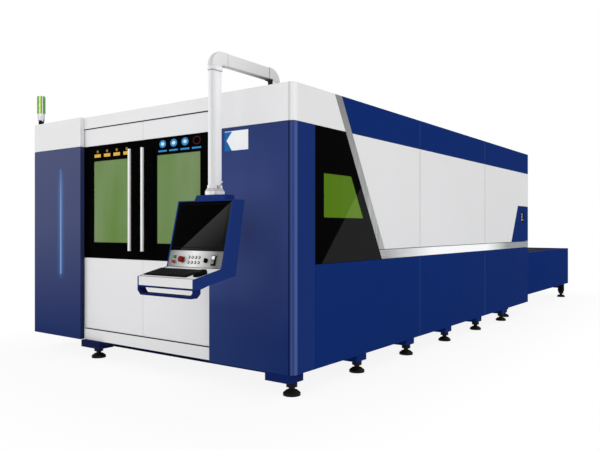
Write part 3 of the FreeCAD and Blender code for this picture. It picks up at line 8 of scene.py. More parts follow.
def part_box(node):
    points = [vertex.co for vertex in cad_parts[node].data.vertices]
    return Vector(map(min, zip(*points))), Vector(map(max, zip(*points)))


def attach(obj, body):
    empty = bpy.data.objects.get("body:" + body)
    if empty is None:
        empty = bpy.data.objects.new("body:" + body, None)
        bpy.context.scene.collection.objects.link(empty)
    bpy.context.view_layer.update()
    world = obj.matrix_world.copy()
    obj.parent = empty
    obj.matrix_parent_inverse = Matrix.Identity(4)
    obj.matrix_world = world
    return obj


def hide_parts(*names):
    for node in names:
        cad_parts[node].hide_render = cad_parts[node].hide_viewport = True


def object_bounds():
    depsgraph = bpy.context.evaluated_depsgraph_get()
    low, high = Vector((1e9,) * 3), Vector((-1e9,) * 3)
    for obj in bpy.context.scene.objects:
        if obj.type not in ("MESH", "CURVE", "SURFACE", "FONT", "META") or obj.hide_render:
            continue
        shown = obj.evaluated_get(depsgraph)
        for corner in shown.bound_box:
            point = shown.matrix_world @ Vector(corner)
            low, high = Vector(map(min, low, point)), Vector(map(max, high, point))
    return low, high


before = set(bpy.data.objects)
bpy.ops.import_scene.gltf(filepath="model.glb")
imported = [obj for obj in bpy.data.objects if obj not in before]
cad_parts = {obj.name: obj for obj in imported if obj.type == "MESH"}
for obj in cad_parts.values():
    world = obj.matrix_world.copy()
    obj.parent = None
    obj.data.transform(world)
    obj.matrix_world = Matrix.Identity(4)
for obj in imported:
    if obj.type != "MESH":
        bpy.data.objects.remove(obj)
CAD_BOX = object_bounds()

bl_info = {
    "name": "Laser cutter dressing",
    "version": (1, 0, 0),
    "blender": (4, 5, 0),
    "location": "View3D > Sidebar > Laser cutter",
    "description": "Finishes, fittings and studio for an enclosed sheet-metal laser cutter",
    "category": "Object",
}

# Everything is in metres, in the frame of the CAD model.
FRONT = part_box("left_cabinet")[0].y                # plane of the cabin's front
CORNER_RADIUS = 0.042                              # fold of the front right corner
SIDE_SEAMS = ((1.920, 0.0045), (3.590, 0.0055))    # place behind the front, half width
CONSOLE_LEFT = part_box("console_housing")[0].x
CONSOLE_TILT = math.radians(13.7)                  # lean of the console's face
CONSOLE_TOP = 1.310                                # its upper edge above the floor
CONSOLE_FRONT = 0.351                              # and how far that stands before the cabin


def srgb(red, green, blue):
    """Scene-linear colour from the 0..255 values that a picture shows."""
    def linear(value):
        value = value / 255
        return value / 12.92 if value <= 0.04045 else ((value + 0.055) / 1.055) ** 2.4
    return (linear(red), linear(green), linear(blue), 1.0)


def shaded(colour, share):
    """The same colour darker or lighter, held at white."""
    return tuple(min(part * share, 1.0) for part in colour[:3]) + (1.0,)


WHITE = (1.0, 1.0, 1.0, 1.0)
INK = srgb(3, 3, 4)
CHARCOAL = srgb(5, 5, 6)
SOOT = srgb(14, 14, 15)


# ------------------------------------------------------------------ shader expressions

class Wire:
    """A number on its way through a node tree; arithmetic on it adds Math nodes."""

    def __init__(self, graph, socket):
        self.graph = graph
        self.socket = socket

    def _math(self, operation, *values):
        return self.graph.add("ShaderNodeMath", {"operation": operation}, dict(enumerate(values)))

    def __add__(self, other):
        return self._math("ADD", self, other)

    def __radd__(self, other):
        return self._math("ADD", other, self)

    def __sub__(self, other):
        return self._math("SUBTRACT", self, other)

    def __rsub__(self, other):
        return self._math("SUBTRACT", other, self)

    def __mul__(self, other):
        return self._math("MULTIPLY", self, other)

    def __rmul__(self, other):
        return self._math("MULTIPLY", other, self)

    def __truediv__(self, other):
        return self._math("DIVIDE", self, other)

    def __pow__(self, other):
        return self._math("POWER", self, other)

    def __gt__(self, other):
        return self._math("GREATER_THAN", self, other)

    def __lt__(self, other):
        return self._math("LESS_THAN", self, other)

    def __abs__(self):
        return self._math("ABSOLUTE", self)

    def at_most(self, other):
        return self._math("MINIMUM", self, other)

    def at_least(self, other):
        return self._math("MAXIMUM", self, other)

    def ramp(self, low, high, start=0.0, end=1.0):
        """Map low..high onto start..end and hold it outside that span."""
        sockets = {0: self, 1: low, 2: high, 3: start, 4: end}
        return self.graph.add("ShaderNodeMapRange", {"clamp": True}, sockets)

    def fall(self, low, high, end=0.0):
        """One up to low, and down to end at high."""
        return self.ramp(low, high, 1.0, end)

    def hump(self, start, full, fading, gone, end=0.0):
        """Rise over start..full, then fall over fading..gone."""
        return self.ramp(start, full) * self.fall(fading, gone, end)


class Graph:
    """A shader tree under construction."""

    def __init__(self, tree):
        self.tree = tree

    def add(self, kind, settings, sockets, output=0):
        """Add a node, set it up, feed its sockets and hand back one of its outputs."""
        node = self.tree.nodes.new(kind)
        for name, value in settings.items():
            setattr(node, name, value)
        for key, value in sockets.items():
            if isinstance(value, Wire):
                self.tree.links.new(value.socket, node.inputs[key])
            else:
                node.inputs[key].default_value = value
        return Wire(self, node.outputs[output])

    def shown(self):
        """One for rays that end in the picture: straight, mirrored or through glass."""
        straight, mirrored, through = (
            self.add("ShaderNodeLightPath", {}, {}, f"Is {ray} Ray")
            for ray in ("Camera", "Glossy", "Transmission"))
        return straight.at_least(mirrored).at_least(through)

    def blend(self, share, first, second, output):
        """Send a blend of two shaders to the tree's output."""
        mixed = self.add("ShaderNodeMixShader", {}, {0: share, 1: first, 2: second})
        self.tree.links.new(mixed.socket, self.tree.nodes[output].inputs["Surface"])


class Finish(Graph):
    """A material under construction on one Principled shader."""

    def __init__(self, name, roughness=0.5, metallic=0.0, **extras):
        self.material = bpy.data.materials.new(name)
        self.material.use_nodes = True
        super().__init__(self.material.node_tree)
        self.shader = self.tree.nodes["Principled BSDF"]
        self.shader.inputs["Roughness"].default_value = roughness
        self.shader.inputs["Metallic"].default_value = metallic
        for socket, value in extras.items():
            self.shader.inputs[socket.replace("_", " ")].default_value = value
        self.place = self.add("ShaderNodeTexCoord", {}, {}, "Object")

    def axis(self, name):
        """One coordinate of the point in metres."""
        return self.add("ShaderNodeSeparateXYZ", {}, {"Vector": self.place}, name)

    def below(self, axis, start, end):
        """How far the point lies under a slanted line through two (along, height) points."""
        slope = (end[1] - start[1]) / (end[0] - start[0])
        return (self.axis(axis) - start[0]) * slope + start[1] - self.axis("Z")

    def noise(self, scale, detail=3.0, stretch=(1, 1, 1), roughness=0.5):
        """Soft noise of about 0..1, drawn out along an axis by a stretch below one."""
        place = self.add("ShaderNodeVectorMath", {"operation": "MULTIPLY"},
                         {0: self.place, 1: stretch})
        sockets = {"Vector": place, "Scale": scale, "Detail": detail, "Roughness": roughness}
        return self.add("ShaderNodeTexNoise", {}, sockets, "Fac")

    def grain(self, scale, detail=3.0, stretch=(1, 1, 1)):
        """The same noise with its contrast raised to fill 0..1."""
        return self.noise(scale, detail, stretch).ramp(0.3, 0.7)

    def mix(self, factor, first, second):
        """Blend two colours."""
        settings = {"data_type": "RGBA"}
        return self.add("ShaderNodeMix", settings, {0: factor, 6: first, 7: second}, 2)

    def wear(self, colour, amount=0.02, scale=0.9):
        """A colour that drifts a little darker and lighter over the surface."""
        return self.mix(self.grain(scale), shaded(colour, 1 - amount), shaded(colour, 1 + amount))

    def feed(self, socket, value):
        """Drive one of the shader's own sockets."""
        self.tree.links.new(value.socket, self.shader.inputs[socket])
        return self

    def relief(self, height, distance, strength=1.0):
        """Raise the surface by a height pattern."""
        sockets = {"Height": height, "Distance": distance, "Strength": strength}
        return self.feed("Normal", self.add("ShaderNodeBump", {}, sockets, "Normal"))

    def paint(self, colour):
        """Drive the base colour and hand back the finished material."""
        return self.feed("Base Color", colour).material


# ------------------------------------------------------------------ enamels

def sprayed(name, roughness=0.45, coat=0.0, gloss=0.004):
    """What every sprayed enamel shares: orange peel and faint handling marks."""
    finish = Finish(name, roughness, 0.0, Specular_IOR_Level=gloss, Coat_Weight=coat,
                    Coat_Roughness=0.45)
    handling = finish.noise(7.0, 4.0).ramp(0.35, 0.75, roughness - 0.03, roughness + 0.05)
    finish.feed("Roughness", handling)
    return finish.relief(finish.noise(240.0, 2.0), 0.0002, 0.05)


def enamel(name, colour, roughness=0.45, drift=0.02, coat=0.0):
    """Sprayed enamel of one even colour on sheet steel."""
    finish = sprayed(name, roughness, coat)
    return finish.paint(finish.wear(colour, drift))


def seamed_enamel(name, colour, line, gloss):
    """Enamel of the right side's covers with a fine line where two sheets meet."""
    finish = sprayed(name, 0.42, 0.0, gloss)
    run = finish.axis("Y") - FRONT
    seam = sum(abs(run - place) < half for place, half in SIDE_SEAMS)
    return finish.paint(finish.mix(seam, finish.wear(colour, 0.018), line))


def two_tone_enamel(name, low_colour, high_colour, level):
    """Enamel that changes colour at a height."""
    finish = sprayed(name, gloss=0.001)
    above = finish.axis("Z") > level
    return finish.paint(finish.mix(above, finish.wear(low_colour), finish.wear(high_colour)))


def bed_enamel(name, colour, rail_shade_colour, left, right, depth):
    """Enamel of the bed with painted shade: its two front feet painted darker, the rail between
    them painted nearly black.
    """
    finish = sprayed(name)
    x = finish.axis("X")
    near = finish.axis("Y") < depth
    # painted shade: the front feet darker than the rest of the bed
    foot = finish.mix(x > right, srgb(24, 29, 60), srgb(18, 33, 84))
    base = finish.mix(near * 0.85, finish.wear(colour), foot)
    # painted shade: the rail between the front feet nearly black
    rail = (x > left) * (x < right) * near
    return finish.paint(finish.mix(rail, base, rail_shade_colour))


def arm_enamel(name, middle, wide, front, axes, level, bend, start):
    """White enamel of the swing arm with painted shade: painted light and shade over its faces and
    edges, painted shadow lines under its collars and painted shadow underneath.

    The front and rear elbows turn about axes at the height level; the clamp's foot is at start."""
    finish = sprayed(name, 0.42)
    x, y, z = (finish.axis(letter) for letter in "XYZ")
    front_axis, rear_axis = axes
    # painted light and shade: lighter towards the left edge, darker towards the right, the front
    # elbow darker
    narrow = finish.mix((x - middle).ramp(-wide, wide), srgb(240, 240, 241), srgb(194, 194, 196))
    elbow = (z > level) * (y < front_axis + 0.02)
    narrow = finish.mix(elbow * 0.3, narrow, srgb(150, 150, 153))
    # painted light and shade on the right side: the post lighter towards the back, the beam darker
    # towards the rear
    post = finish.mix(y.ramp(front, front + 0.04), srgb(216, 216, 217), srgb(240, 240, 241))
    run = y.ramp(front_axis, rear_axis)
    beam = finish.mix(run, srgb(225, 225, 226), srgb(206, 206, 207))
    right_side = x > middle + wide - 0.0015
    base = finish.mix(right_side, narrow, finish.mix(z > level, post, beam))
    # painted shade on the neck above the clamp's foot
    neck = (z < start + 0.046) * (z > start + 0.024)
    base = finish.mix(neck * 0.5, base, srgb(128, 128, 130))
    # painted shadow lines under the collars of the post and the beam
    cast = (abs(z - level + 0.033) < 0.003) + (abs(z - level + 0.003) < 0.0022) * 0.35
    drawn = (abs(y - front_axis - 0.047) < 0.0028) + (abs(y - rear_axis + 0.0245) < 0.0028)
    painted_seam_shadows = cast * (y < front_axis) + drawn * (z > level + bend)
    base = finish.mix(painted_seam_shadows * 0.55, base, srgb(70, 70, 74))
    # painted shadow under the beam and inside the rear elbow
    under = z.fall(level + bend + 0.004, level + bend + 0.013)
    under = under * y.ramp(front_axis - 0.01, front_axis + 0.02) * (y < rear_axis + 0.012)
    shade = (run * run * 0.85 + 0.12) * under
    return finish.paint(finish.mix(shade, base, srgb(22, 22, 24)))


def tray_enamel(name, colour, front):
    """White enamel of the keyboard tray with painted shade: its front plate painted darker, its
    rim painted in shade.
    """
    finish = sprayed(name, 0.4)
    depth = finish.axis("Y") - front
    # painted shade: the front plate darker than the top
    base = finish.mix(depth.ramp(0.0, 0.001), srgb(214, 213, 214), finish.wear(colour, 0.015))
    # painted shade on the rim
    rim = depth.hump(0.001, 0.002, 0.018, 0.030)
    return finish.paint(finish.mix(rim * 0.8, base, srgb(158, 158, 160)))


def fold(finish, right):
    """Whether a point is on the folded corner, and how deep behind the front in radii."""
    bend = finish.axis("X") > right - CORNER_RADIUS
    return bend, (finish.axis("Y") - FRONT) / CORNER_RADIUS


def corner_enamel(name, colour, pale, right):
    """Enamel of the folded corner: painted sheen and shade on the front, a dull side, two painted
    highlight lines where it bends and a line of painted shade where the bend begins.
    """
    finish = sprayed(name)
    x, y, z = (finish.axis(letter) for letter in "XYZ")
    bend, depth = fold(finish, right)
    # painted highlight: two paler lines round the bend
    first = depth.hump(0.03, 0.12, 0.20, 0.34, 0.5) * depth.fall(0.6, 1.0)
    second = depth.hump(0.36, 0.76, 1.02, 1.3)
    gleam = bend * (first * 0.44 + second * 0.75)
    plain = finish.mix(0.5, finish.wear(colour), srgb(31, 51, 108))
    base = finish.mix(gleam, plain, pale)
    # painted sheen and shade on the front face: lighter at mid height, darker towards the right
    # and the outer top
    foot = finish.mix(x.ramp(0.85, 1.45), srgb(37, 54, 103), srgb(25, 43, 95))
    belly = z.hump(0.35, 1.2, 1.4, 1.8, 0.3)
    tone = finish.mix(belly, foot, srgb(57, 70, 121))
    outer = x.ramp(1.28, 1.47) * z.ramp(1.05, 1.4)
    tone = finish.mix(outer * 0.7, tone, srgb(44, 57, 108))
    # painted light beside the console, where its shadow falls on the front
    beside_console = x.fall(1.08, 1.38) * z.hump(0.55, 0.85, 1.2, 1.55, 0.15)
    tone = finish.mix(beside_console * 0.6, tone, srgb(77, 92, 152))
    face = y.fall(FRONT, FRONT + 0.003)
    painted_sheen_face = finish.mix(face * 0.85, base, tone)
    finish.feed("Coat Weight", face * z.ramp(0.15, 1.8, 0.02, 0.10))
    # painted shade where the bend begins
    crease = bend * depth.fall(0.02, 0.07)
    return finish.paint(finish.mix(crease * 0.8, painted_sheen_face, srgb(8, 16, 50)))


def cap_enamel(name, colour, right):
    """White enamel of the corner's cap: painted shade in the crease, then a painted highlight on
    the bend.
    """
    finish = sprayed(name, 0.42)
    bend, depth = fold(finish, right)
    # painted highlight on the bend
    gleam = bend * depth.hump(0.2, 0.6, 0.95, 1.3)
    pale = finish.mix(gleam * 0.4, finish.wear(colour, 0.018), srgb(244, 244, 245))
    # painted shade in the crease
    crease = bend * depth.fall(0.03, 0.14)
    return finish.paint(finish.mix(crease * 0.6, pale, srgb(176, 176, 178)))


def lit_enamel(name, colour, glow, centre, low, high):
    """Enamel round the light bar, with the bar's glow painted on as light, its inner return
    painted greyer and darker towards the bottom as light and shade, and polished towards its head.
    """
    finish = sprayed(name)
    height = finish.axis("Z")
    front = finish.axis("Y").fall(FRONT, FRONT + 0.004)
    coat = height.ramp(0.15, 1.15, 0.13, 0.80) + height.ramp(1.15, 1.8, 0.0, 0.12)
    finish.feed("Coat Weight", front * coat)
    # painted light and shade on the inner return: greyer than the blue, darker towards the bottom
    inner = finish.axis("X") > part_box("left_cabinet")[1].x - 0.001
    returned = finish.mix(height.ramp(0.45, 1.25), srgb(30, 41, 69), srgb(50, 54, 94))
    turned = finish.mix(inner, finish.wear(colour), returned)
    base = finish.mix(front, turned, srgb(18, 38, 92))
    # painted glow of the light bar on the enamel around it
    away = abs(finish.axis("X") - centre).fall(0.008, 0.075)
    painted_glow = away * away * height.hump(low - 0.05, low + 0.03, high - 0.16, high + 0.03)
    return finish.paint(finish.mix(painted_glow * 0.32, base, glow))


# ------------------------------------------------------------------ metals, glass, plastics

def brushed_metal(name, colour, stretch, roughness=0.35, metallic=1.0):
    """Metal drawn or ground in one direction, by the stretch of its scratches."""
    finish = Finish(name, roughness, metallic)
    scratches = finish.noise(160.0, 4.0, stretch, 0.6)
    streak = scratches.ramp(0.3, 0.7)
    finish.feed("Roughness", streak.ramp(0.0, 1.0, roughness - 0.08, roughness + 0.1))
    finish.relief(scratches, 0.0002, 0.5)
    return finish.paint(finish.mix(streak, shaded(colour, 0.82), colour))


def brushed_trim(name, colour, belt_top):
    """Brushed silver strip: darker upwards where it slants, a painted highlight along the belt's
    middle.
    """
    finish = Finish(name, 0.4, 0.3, Specular_IOR_Level=0.1)
    height, run = finish.axis("Z"), finish.axis("Y") - FRONT
    on_belt = height < belt_top
    upright = finish.grain(120.0, 3.0, (1, 1, 0.04))
    level = finish.grain(160.0, 4.0, (1, 0.02, 1))
    streak = upright + on_belt * (level - upright)
    finish.feed("Roughness", streak.ramp(0.0, 1.0, 0.36, 0.46))
    finish.relief(streak, 0.0001, 0.2)
    plain = finish.mix(streak, shaded(colour, 0.78), shaded(colour, 1.35))
    plain = finish.mix(height.ramp(1.3, 2.03), plain, shaded(colour, 0.6))
    plain = finish.mix(on_belt * run.ramp(3.7, 4.5, 0.0, 0.6), plain, srgb(116, 128, 136))
    # painted highlight along the belt's middle
    bright = on_belt * run.hump(1.28, 2.20, 3.66, 4.34)
    bands = finish.mix(bright, plain, srgb(250, 251, 252))
    lip = on_belt * (height > belt_top - 0.007)
    return finish.paint(finish.mix(lip * 0.75, bands, srgb(40, 42, 46)))


def panel_steel(name, low, high, left, right):
    """Brushed control panel with a painted reflection: soft bright and dark bands across it."""
    finish = Finish(name, 0.36, 0.25, Specular_IOR_Level=0.15)
    share = (finish.axis("X") - left) / (right - left)
    # painted reflection: a bright band across the panel between darker ends
    bright = share.hump(0.0, 0.46, 0.5, 0.9)
    grain = finish.grain(300.0, 3.0, (0.01, 1, 1))
    finish.feed("Roughness", grain.ramp(0.0, 1.0, 0.32, 0.44))
    finish.relief(grain, 0.0001, 0.3)
    return finish.paint(finish.mix(bright * 0.95 + grain * 0.15, low, high))


def bar_metal(name, colour, post_colour, level):
    """Satin bar of a door handle whose posts behind a depth are black."""
    finish = Finish(name, 0.34, 0.2, Specular_IOR_Level=0.2)
    scratches = finish.grain(160.0, 4.0, (1, 1, 0.02))
    bar = finish.mix(scratches, shaded(colour, 0.9), colour)
    behind = finish.axis("Y") > level
    finish.feed("Roughness", scratches.ramp(0.0, 1.0, 0.3, 0.4))
    finish.feed("Metallic", 0.2 - behind * 0.2)
    finish.relief(scratches, 0.0001, 0.4)
    return finish.paint(finish.mix(behind, bar, post_colour))


def lever_metal(name, colour, root_colour, level):
    """Bright turned lever with a black root."""
    finish = Finish(name, 0.3, 0.4, Specular_IOR_Level=0.3)
    rings = finish.grain(300.0, 2.0, (1, 1, 0.2))
    finish.feed("Roughness", rings.ramp(0.0, 1.0, 0.25, 0.35))
    finish.relief(rings, 0.0001, 0.3)
    stem = finish.mix(rings, shaded(colour, 0.85), colour)
    return finish.paint(finish.mix(finish.axis("X") < level, stem, root_colour))


def cast_iron(name, colour):
    """Black-painted casting with a sandy skin and paler patches of grime."""
    finish = Finish(name, 0.55, 0.0, Specular_IOR_Level=0.1)
    sand = finish.noise(260.0, 4.0)
    grime = finish.noise(18.0, 4.0).ramp(0.45, 0.75)
    finish.feed("Roughness", sand.ramp(0.3, 0.7, 0.45, 0.7))
    finish.relief(sand, 0.0006, 0.6)
    return finish.paint(finish.mix(grime * 0.3, colour, srgb(48, 46, 44)))


def cut_steel(name, tip_level):
    """Plain sheet slats, burnt and spattered towards their tips."""
    finish = Finish(name, 0.5, 0.7)
    burn = finish.axis("Z").ramp(tip_level - 0.035, tip_level)
    spatter = finish.noise(130.0, 5.0).ramp(0.45, 0.62)
    rust = finish.noise(9.0, 4.0).ramp(0.4, 0.7)
    plain = finish.mix(rust * 0.6, srgb(70, 67, 64), srgb(84, 62, 44))
    finish.feed("Roughness", (spatter * 0.25 + 0.42).at_most(0.8))
    finish.feed("Metallic", 0.75 - rust * 0.4)
    finish.relief(spatter, 0.0008, 0.6)
    return finish.paint(finish.mix(burn * spatter * 0.85, plain, srgb(30, 26, 24)))


def black_glass(name, sheen=None, axis="Y", line=None, fade=0.0):
    """Black back-painted glass; a sheen is a painted reflection, grey under a slanted line along
    an axis.
    """
    finish = Finish(name, 0.08, 0.0, Specular_IOR_Level=0.003)
    finish.feed("Roughness", finish.noise(3.0, 3.0).ramp(0.35, 0.7, 0.05, 0.12))
    base = finish.wear(INK, 0.3, 2.0)
    # painted reflection: grey under the slanted line
    if sheen:
        depth = finish.below(axis, *line)
        painted_reflection = depth.ramp(0.0, 0.004)
        if fade:
            painted_reflection = painted_reflection * depth.fall(0.0, fade, 0.25)
        base = finish.mix(painted_reflection, base, sheen)
    return finish.paint(base)


def laser_window(name, colour, pale, alpha, line=None):
    """Green laser-safety sheet, see-through, with painted reflection: pale patches and streaks,
    and paler under a slanted line along the side.
    """
    finish = Finish(name, 0.12, 0.0, Specular_IOR_Level=0.012)
    tint = finish.noise(2.2, 2.0, (1, 1, 0.35)).ramp(0.35, 0.65)
    fine = finish.grain(14.0, 3.0, (1, 1, 0.05))
    # paler patches and fine upright streaks: painted reflection; the patches also vary how
    # see-through the sheet is
    share = tint * 0.75 + fine * 0.15
    # painted reflection under the slanted line along the side
    if line:
        share = share * 0.5 + finish.below("Y", *line).ramp(0.0, 0.004, 0.0, 0.75)
    finish.feed("Alpha", (1 - tint * 0.08) * alpha)
    finish.feed("Roughness", fine.ramp(0.0, 1.0, 0.09, 0.16))
    return finish.paint(finish.mix(share, colour, pale))


def glossy_plastic(name, colour, roughness=0.2):
    """Moulded glossy plastic with a faint flow pattern."""
    finish = Finish(name, roughness, 0.0, Specular_IOR_Level=0.08)
    finish.feed("Roughness", finish.noise(90.0).ramp(0.3, 0.7, roughness - 0.05, roughness + 0.08))
    finish.relief(finish.noise(500.0), 0.00008, 0.3)
    return finish.paint(finish.wear(colour, 0.08, 40.0))


def grained_plastic(name, colour, roughness=0.55):
    """Moulded plastic with a fine spark-eroded grain."""
    finish = Finish(name, roughness, 0.0, Specular_IOR_Level=0.03)
    grain = finish.noise(900.0, 2.0)
    finish.feed("Roughness", grain.ramp(0.3, 0.7, roughness - 0.08, roughness + 0.1))
    finish.relief(grain, 0.0002, 0.5)
    return finish.paint(finish.wear(colour, 0.12, 30.0))


def light_bar(name, colour, centre, top):
    """A lit diffuser, brighter along its middle and fading out towards its head."""
    finish = Finish(name, 0.35, Emission_Strength=0.18)
    off_centre = abs(finish.axis("X") - centre)
    core = off_centre.fall(0.0, 0.009, 0.2) * finish.axis("Z").fall(top - 0.32, top - 0.02)
    ripple = finish.noise(3.0, 2.0).ramp(0.3, 0.7, 0.9, 1.0)
    finish.feed("Emission Color", finish.mix(core * ripple, srgb(30, 60, 120), colour))
    return finish.paint(finish.mix(core, srgb(52, 84, 140), colour))


def lens(name, colour, pale, centre, reach):
    """Ribbed lens of the signal lamp: clear plastic with a painted highlight, a pale streak down
    one side.
    """
    finish = Finish(name, 0.18, 0.0, Coat_Weight=0.3, Emission_Strength=0.25)
    across = (finish.axis("X") - centre.x) * 0.81 + (finish.axis("Y") - centre.y) * 0.59
    # painted highlight: a pale streak down the lens, which also glows with the lamp
    core = abs(across - reach * 0.02).fall(reach * 0.08, reach * 0.34)
    wave = finish.add("ShaderNodeMath", {"operation": "SINE"}, {0: finish.axis("Z") * 420.0})
    finish.relief(wave, 0.0008, 0.6)
    finish.feed("Emission Color", finish.mix(core, colour, pale))
    return finish.paint(finish.mix(core * 0.8, colour, pale))


# ------------------------------------------------------------------ mesh helpers

def publish(name, builder, material, smooth=None):
    """Turn a bmesh into a piece whose object sits at the origin."""
    bmesh.ops.recalc_face_normals(builder, faces=builder.faces)
    mesh = bpy.data.meshes.new(name)
    builder.to_mesh(mesh)
    builder.free()
    mesh.materials.append(material)
    if smooth is not None:
        mesh.shade_smooth()
        mesh.set_sharp_from_angle(angle=math.radians(smooth))
    piece = bpy.data.objects.new(name, mesh)
    bpy.context.scene.collection.objects.link(piece)
    return piece


def seat(piece, body, slot, *replaced):
    """Hang a piece on a body and hide the nodes that it stands for; the slot is not used."""
    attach(piece, body)
    if replaced:
        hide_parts(*replaced)


def facing_front(u, v, w):
    """Outline upright and parallel to the front, w its depth."""
    return (u, w, v)


def within(matrix):
    """Outline in the local frame of a matrix."""
    return lambda u, v, w: matrix @ Vector((u, v, w))


def rectangle(low_u, low_v, high_u, high_v):
    return [(low_u, low_v), (high_u, low_v), (high_u, high_v), (low_u, high_v)]


def border(left, low, right, high, thick):
    """Four bars that run round inside a rectangle."""
    return (rectangle(left, low, right, low + thick),
            rectangle(left, high - thick, right, high),
            rectangle(left, low + thick, left + thick, high - thick),
            rectangle(right - thick, low + thick, right, high - thick))


def oval(u, v, half_width, half_height, sides=32):
    turn = math.tau / sides
    return [(u + half_width * math.cos(turn * k), v + half_height * math.sin(turn * k))
            for k in range(sides)]


def rounded(low_u, low_v, high_u, high_v, radius, steps=4):
    """Outline of a rectangle with rounded corners."""
    corners = ((high_u - radius, low_v + radius, -90), (high_u - radius, high_v - radius, 0),
               (low_u + radius, high_v - radius, 90), (low_u + radius, low_v + radius, 180))
    outline = []
    for u, v, start in corners:
        for step in range(steps + 1):
            angle = math.radians(start + 90 * step / steps)
            outline.append((u + radius * math.cos(angle), v + radius * math.sin(angle)))
    return outline


def skin(builder, first, second):
    """Join two rings of vertices by faces; a ring of one vertex is a tip."""
    count = max(len(first), len(second))
    for step in range(count):
        after = (step + 1) % count
        corners = (first[step % len(first)], first[after % len(first)],
                   second[after % len(second)], second[step % len(second)])
        builder.faces.new(tuple(dict.fromkeys(corners)))


def loft(builder, loops):
    """Join outlines of as many points into one closed skin."""
    rings = [[builder.verts.new(point) for point in loop] for loop in loops]
    for first, second in zip(rings, rings[1:]):
        skin(builder, first, second)
    builder.faces.new(reversed(rings[0]))
    builder.faces.new(rings[-1])


def frame_of(builder, outer, inner, low, high, place):
    """Add a closed flat ring between two outlines of as many points."""
    loops = [[builder.verts.new(place(u, v, w)) for u, v in outline]
             for outline, w in ((outer, low), (inner, low), (inner, high), (outer, high))]
    for first, second in zip(loops, loops[1:] + loops[:1]):
        skin(builder, first, second)


def lathe(builder, profile, matrix, sides):
    """Turn a profile of (radius, height) about the local Z axis; it may end where it began."""
    closed = profile[0] == profile[-1]
    rings = [[builder.verts.new(matrix @ Vector((u, v, height)))
              for u, v in oval(0.0, 0.0, radius, radius, sides if radius else 1)]
             for radius, height in (profile[:-1] if closed else profile)]
    if closed:
        rings.append(rings[0])
    for first, second in zip(rings, rings[1:]):
        skin(builder, first, second)


def slab(name, outlines, low, high, place, material, smooth=None):
    """Make one piece of prisms: outlines in (u, v), w from low to high, put in place."""
    builder = bmesh.new()
    for outline in outlines:
        loft(builder, [[place(u, v, w) for u, v in outline] for w in (low, high)])
    return publish(name, builder, material, smooth)


def turned(name, profiles, material, smooth=None, sides=48):
    """Make one piece of turned parts, each a profile with the matrix of its axis."""
    builder = bmesh.new()
    for profile, matrix in profiles:
        lathe(builder, profile, matrix, sides)
    return publish(name, builder, material, smooth)


def middle_of(node):
    """Centre of a node's box."""
    low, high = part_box(node)
    return (low + high) / 2


def upright(x, y):
    """Frame of a vertical axis."""
    return Matrix.Translation((x, y, 0.0))


def sideways(matrix):
    """The same frame with its axis laid along X."""
    return matrix @ Matrix.Rotation(math.pi / 2, 4, "Y")


def console_matrix(along, level, out=0.0):
    """Local frame on the slanted console: X to the right, Y up the face, Z out of it."""
    back = FRONT - CONSOLE_FRONT - (CONSOLE_TOP - level) * math.tan(CONSOLE_TILT)
    leaning = Matrix.Rotation(math.pi / 2 - CONSOLE_TILT, 4, "X")
    place = Matrix.Translation((CONSOLE_LEFT + along, back, level))
    return place @ leaning @ Matrix.Translation((0, 0, out))


# ------------------------------------------------------------------ repeats

def copies_tree(name, shape, sockets):
    """Geometry Nodes: copies of a piece on the points of a shape, in one finish.

    sockets names each input with its kind and with the socket of the shape that it feeds."""
    tree = bpy.data.node_groups.new(name, "GeometryNodeTree")
    nodes, link = tree.nodes, tree.links.new
    kinds = {"Geometry": "Geometry", "Centre": "Vector", "Finish": "Material"}
    kinds.update({label: kind for label, (kind, _) in sockets.items()})
    for label, kind in kinds.items():
        tree.interface.new_socket(label, in_out="INPUT", socket_type=f"NodeSocket{kind}")
    tree.interface.new_socket("Geometry", in_out="OUTPUT", socket_type="NodeSocketGeometry")
    given = nodes.new("NodeGroupInput").outputs
    points = nodes.new(shape)
    for label, (_, target) in sockets.items():
        link(given[label], points.inputs[target])
    copies = nodes.new("GeometryNodeInstanceOnPoints")
    link(points.outputs["Mesh"], copies.inputs["Points"])
    link(given["Geometry"], copies.inputs["Instance"])
    solid = nodes.new("GeometryNodeRealizeInstances")
    link(copies.outputs["Instances"], solid.inputs["Geometry"])
    shift = nodes.new("GeometryNodeTransform")
    link(solid.outputs["Geometry"], shift.inputs["Geometry"])
    link(given["Centre"], shift.inputs["Translation"])
    paint = nodes.new("GeometryNodeSetMaterial")
    link(shift.outputs["Geometry"], paint.inputs["Geometry"])
    link(given["Finish"], paint.inputs["Material"])
    link(paint.outputs["Geometry"], nodes.new("NodeGroupOutput").inputs["Geometry"])
    return tree


def grow(piece, tree, **values):
    """Run a Geometry Nodes tree on a piece and keep its result as a plain mesh."""
    modifier = piece.modifiers.new(tree.name, "NODES")
    modifier.node_group = tree
    sockets = {item.name: item.identifier for item in tree.interface.items_tree
               if item.in_out == "INPUT"}
    for name, value in values.items():
        modifier[sockets[name]] = value
    modifier[sockets["Finish"]] = piece.data.materials[0]
    bpy.context.view_layer.update()
    graph = bpy.context.evaluated_depsgraph_get()
    grown = bpy.data.meshes.new_from_object(piece.evaluated_get(graph))
    piece.modifiers.remove(modifier)
    single = piece.data
    piece.data = grown
    grown.name = piece.name
    bpy.data.meshes.remove(single)
    return piece


def in_row(piece, count, step):
    """Repeat a piece along a straight row."""
    tree = copies_tree("copies in a row", "GeometryNodeMeshLine",
                       {"Count": ("Int", "Count"), "Step": ("Vector", "Offset")})
    return grow(piece, tree, Count=count, Step=step)


def in_ring(piece, count, radius, centre):
    """Repeat a piece round a circle."""
    tree = copies_tree("copies in a ring", "GeometryNodeMeshCircle",
                       {"Count": ("Int", "Vertices"), "Radius": ("Float", "Radius")})
    return grow(piece, tree, Count=count, Radius=radius, Centre=centre)


# ------------------------------------------------------------------ settings

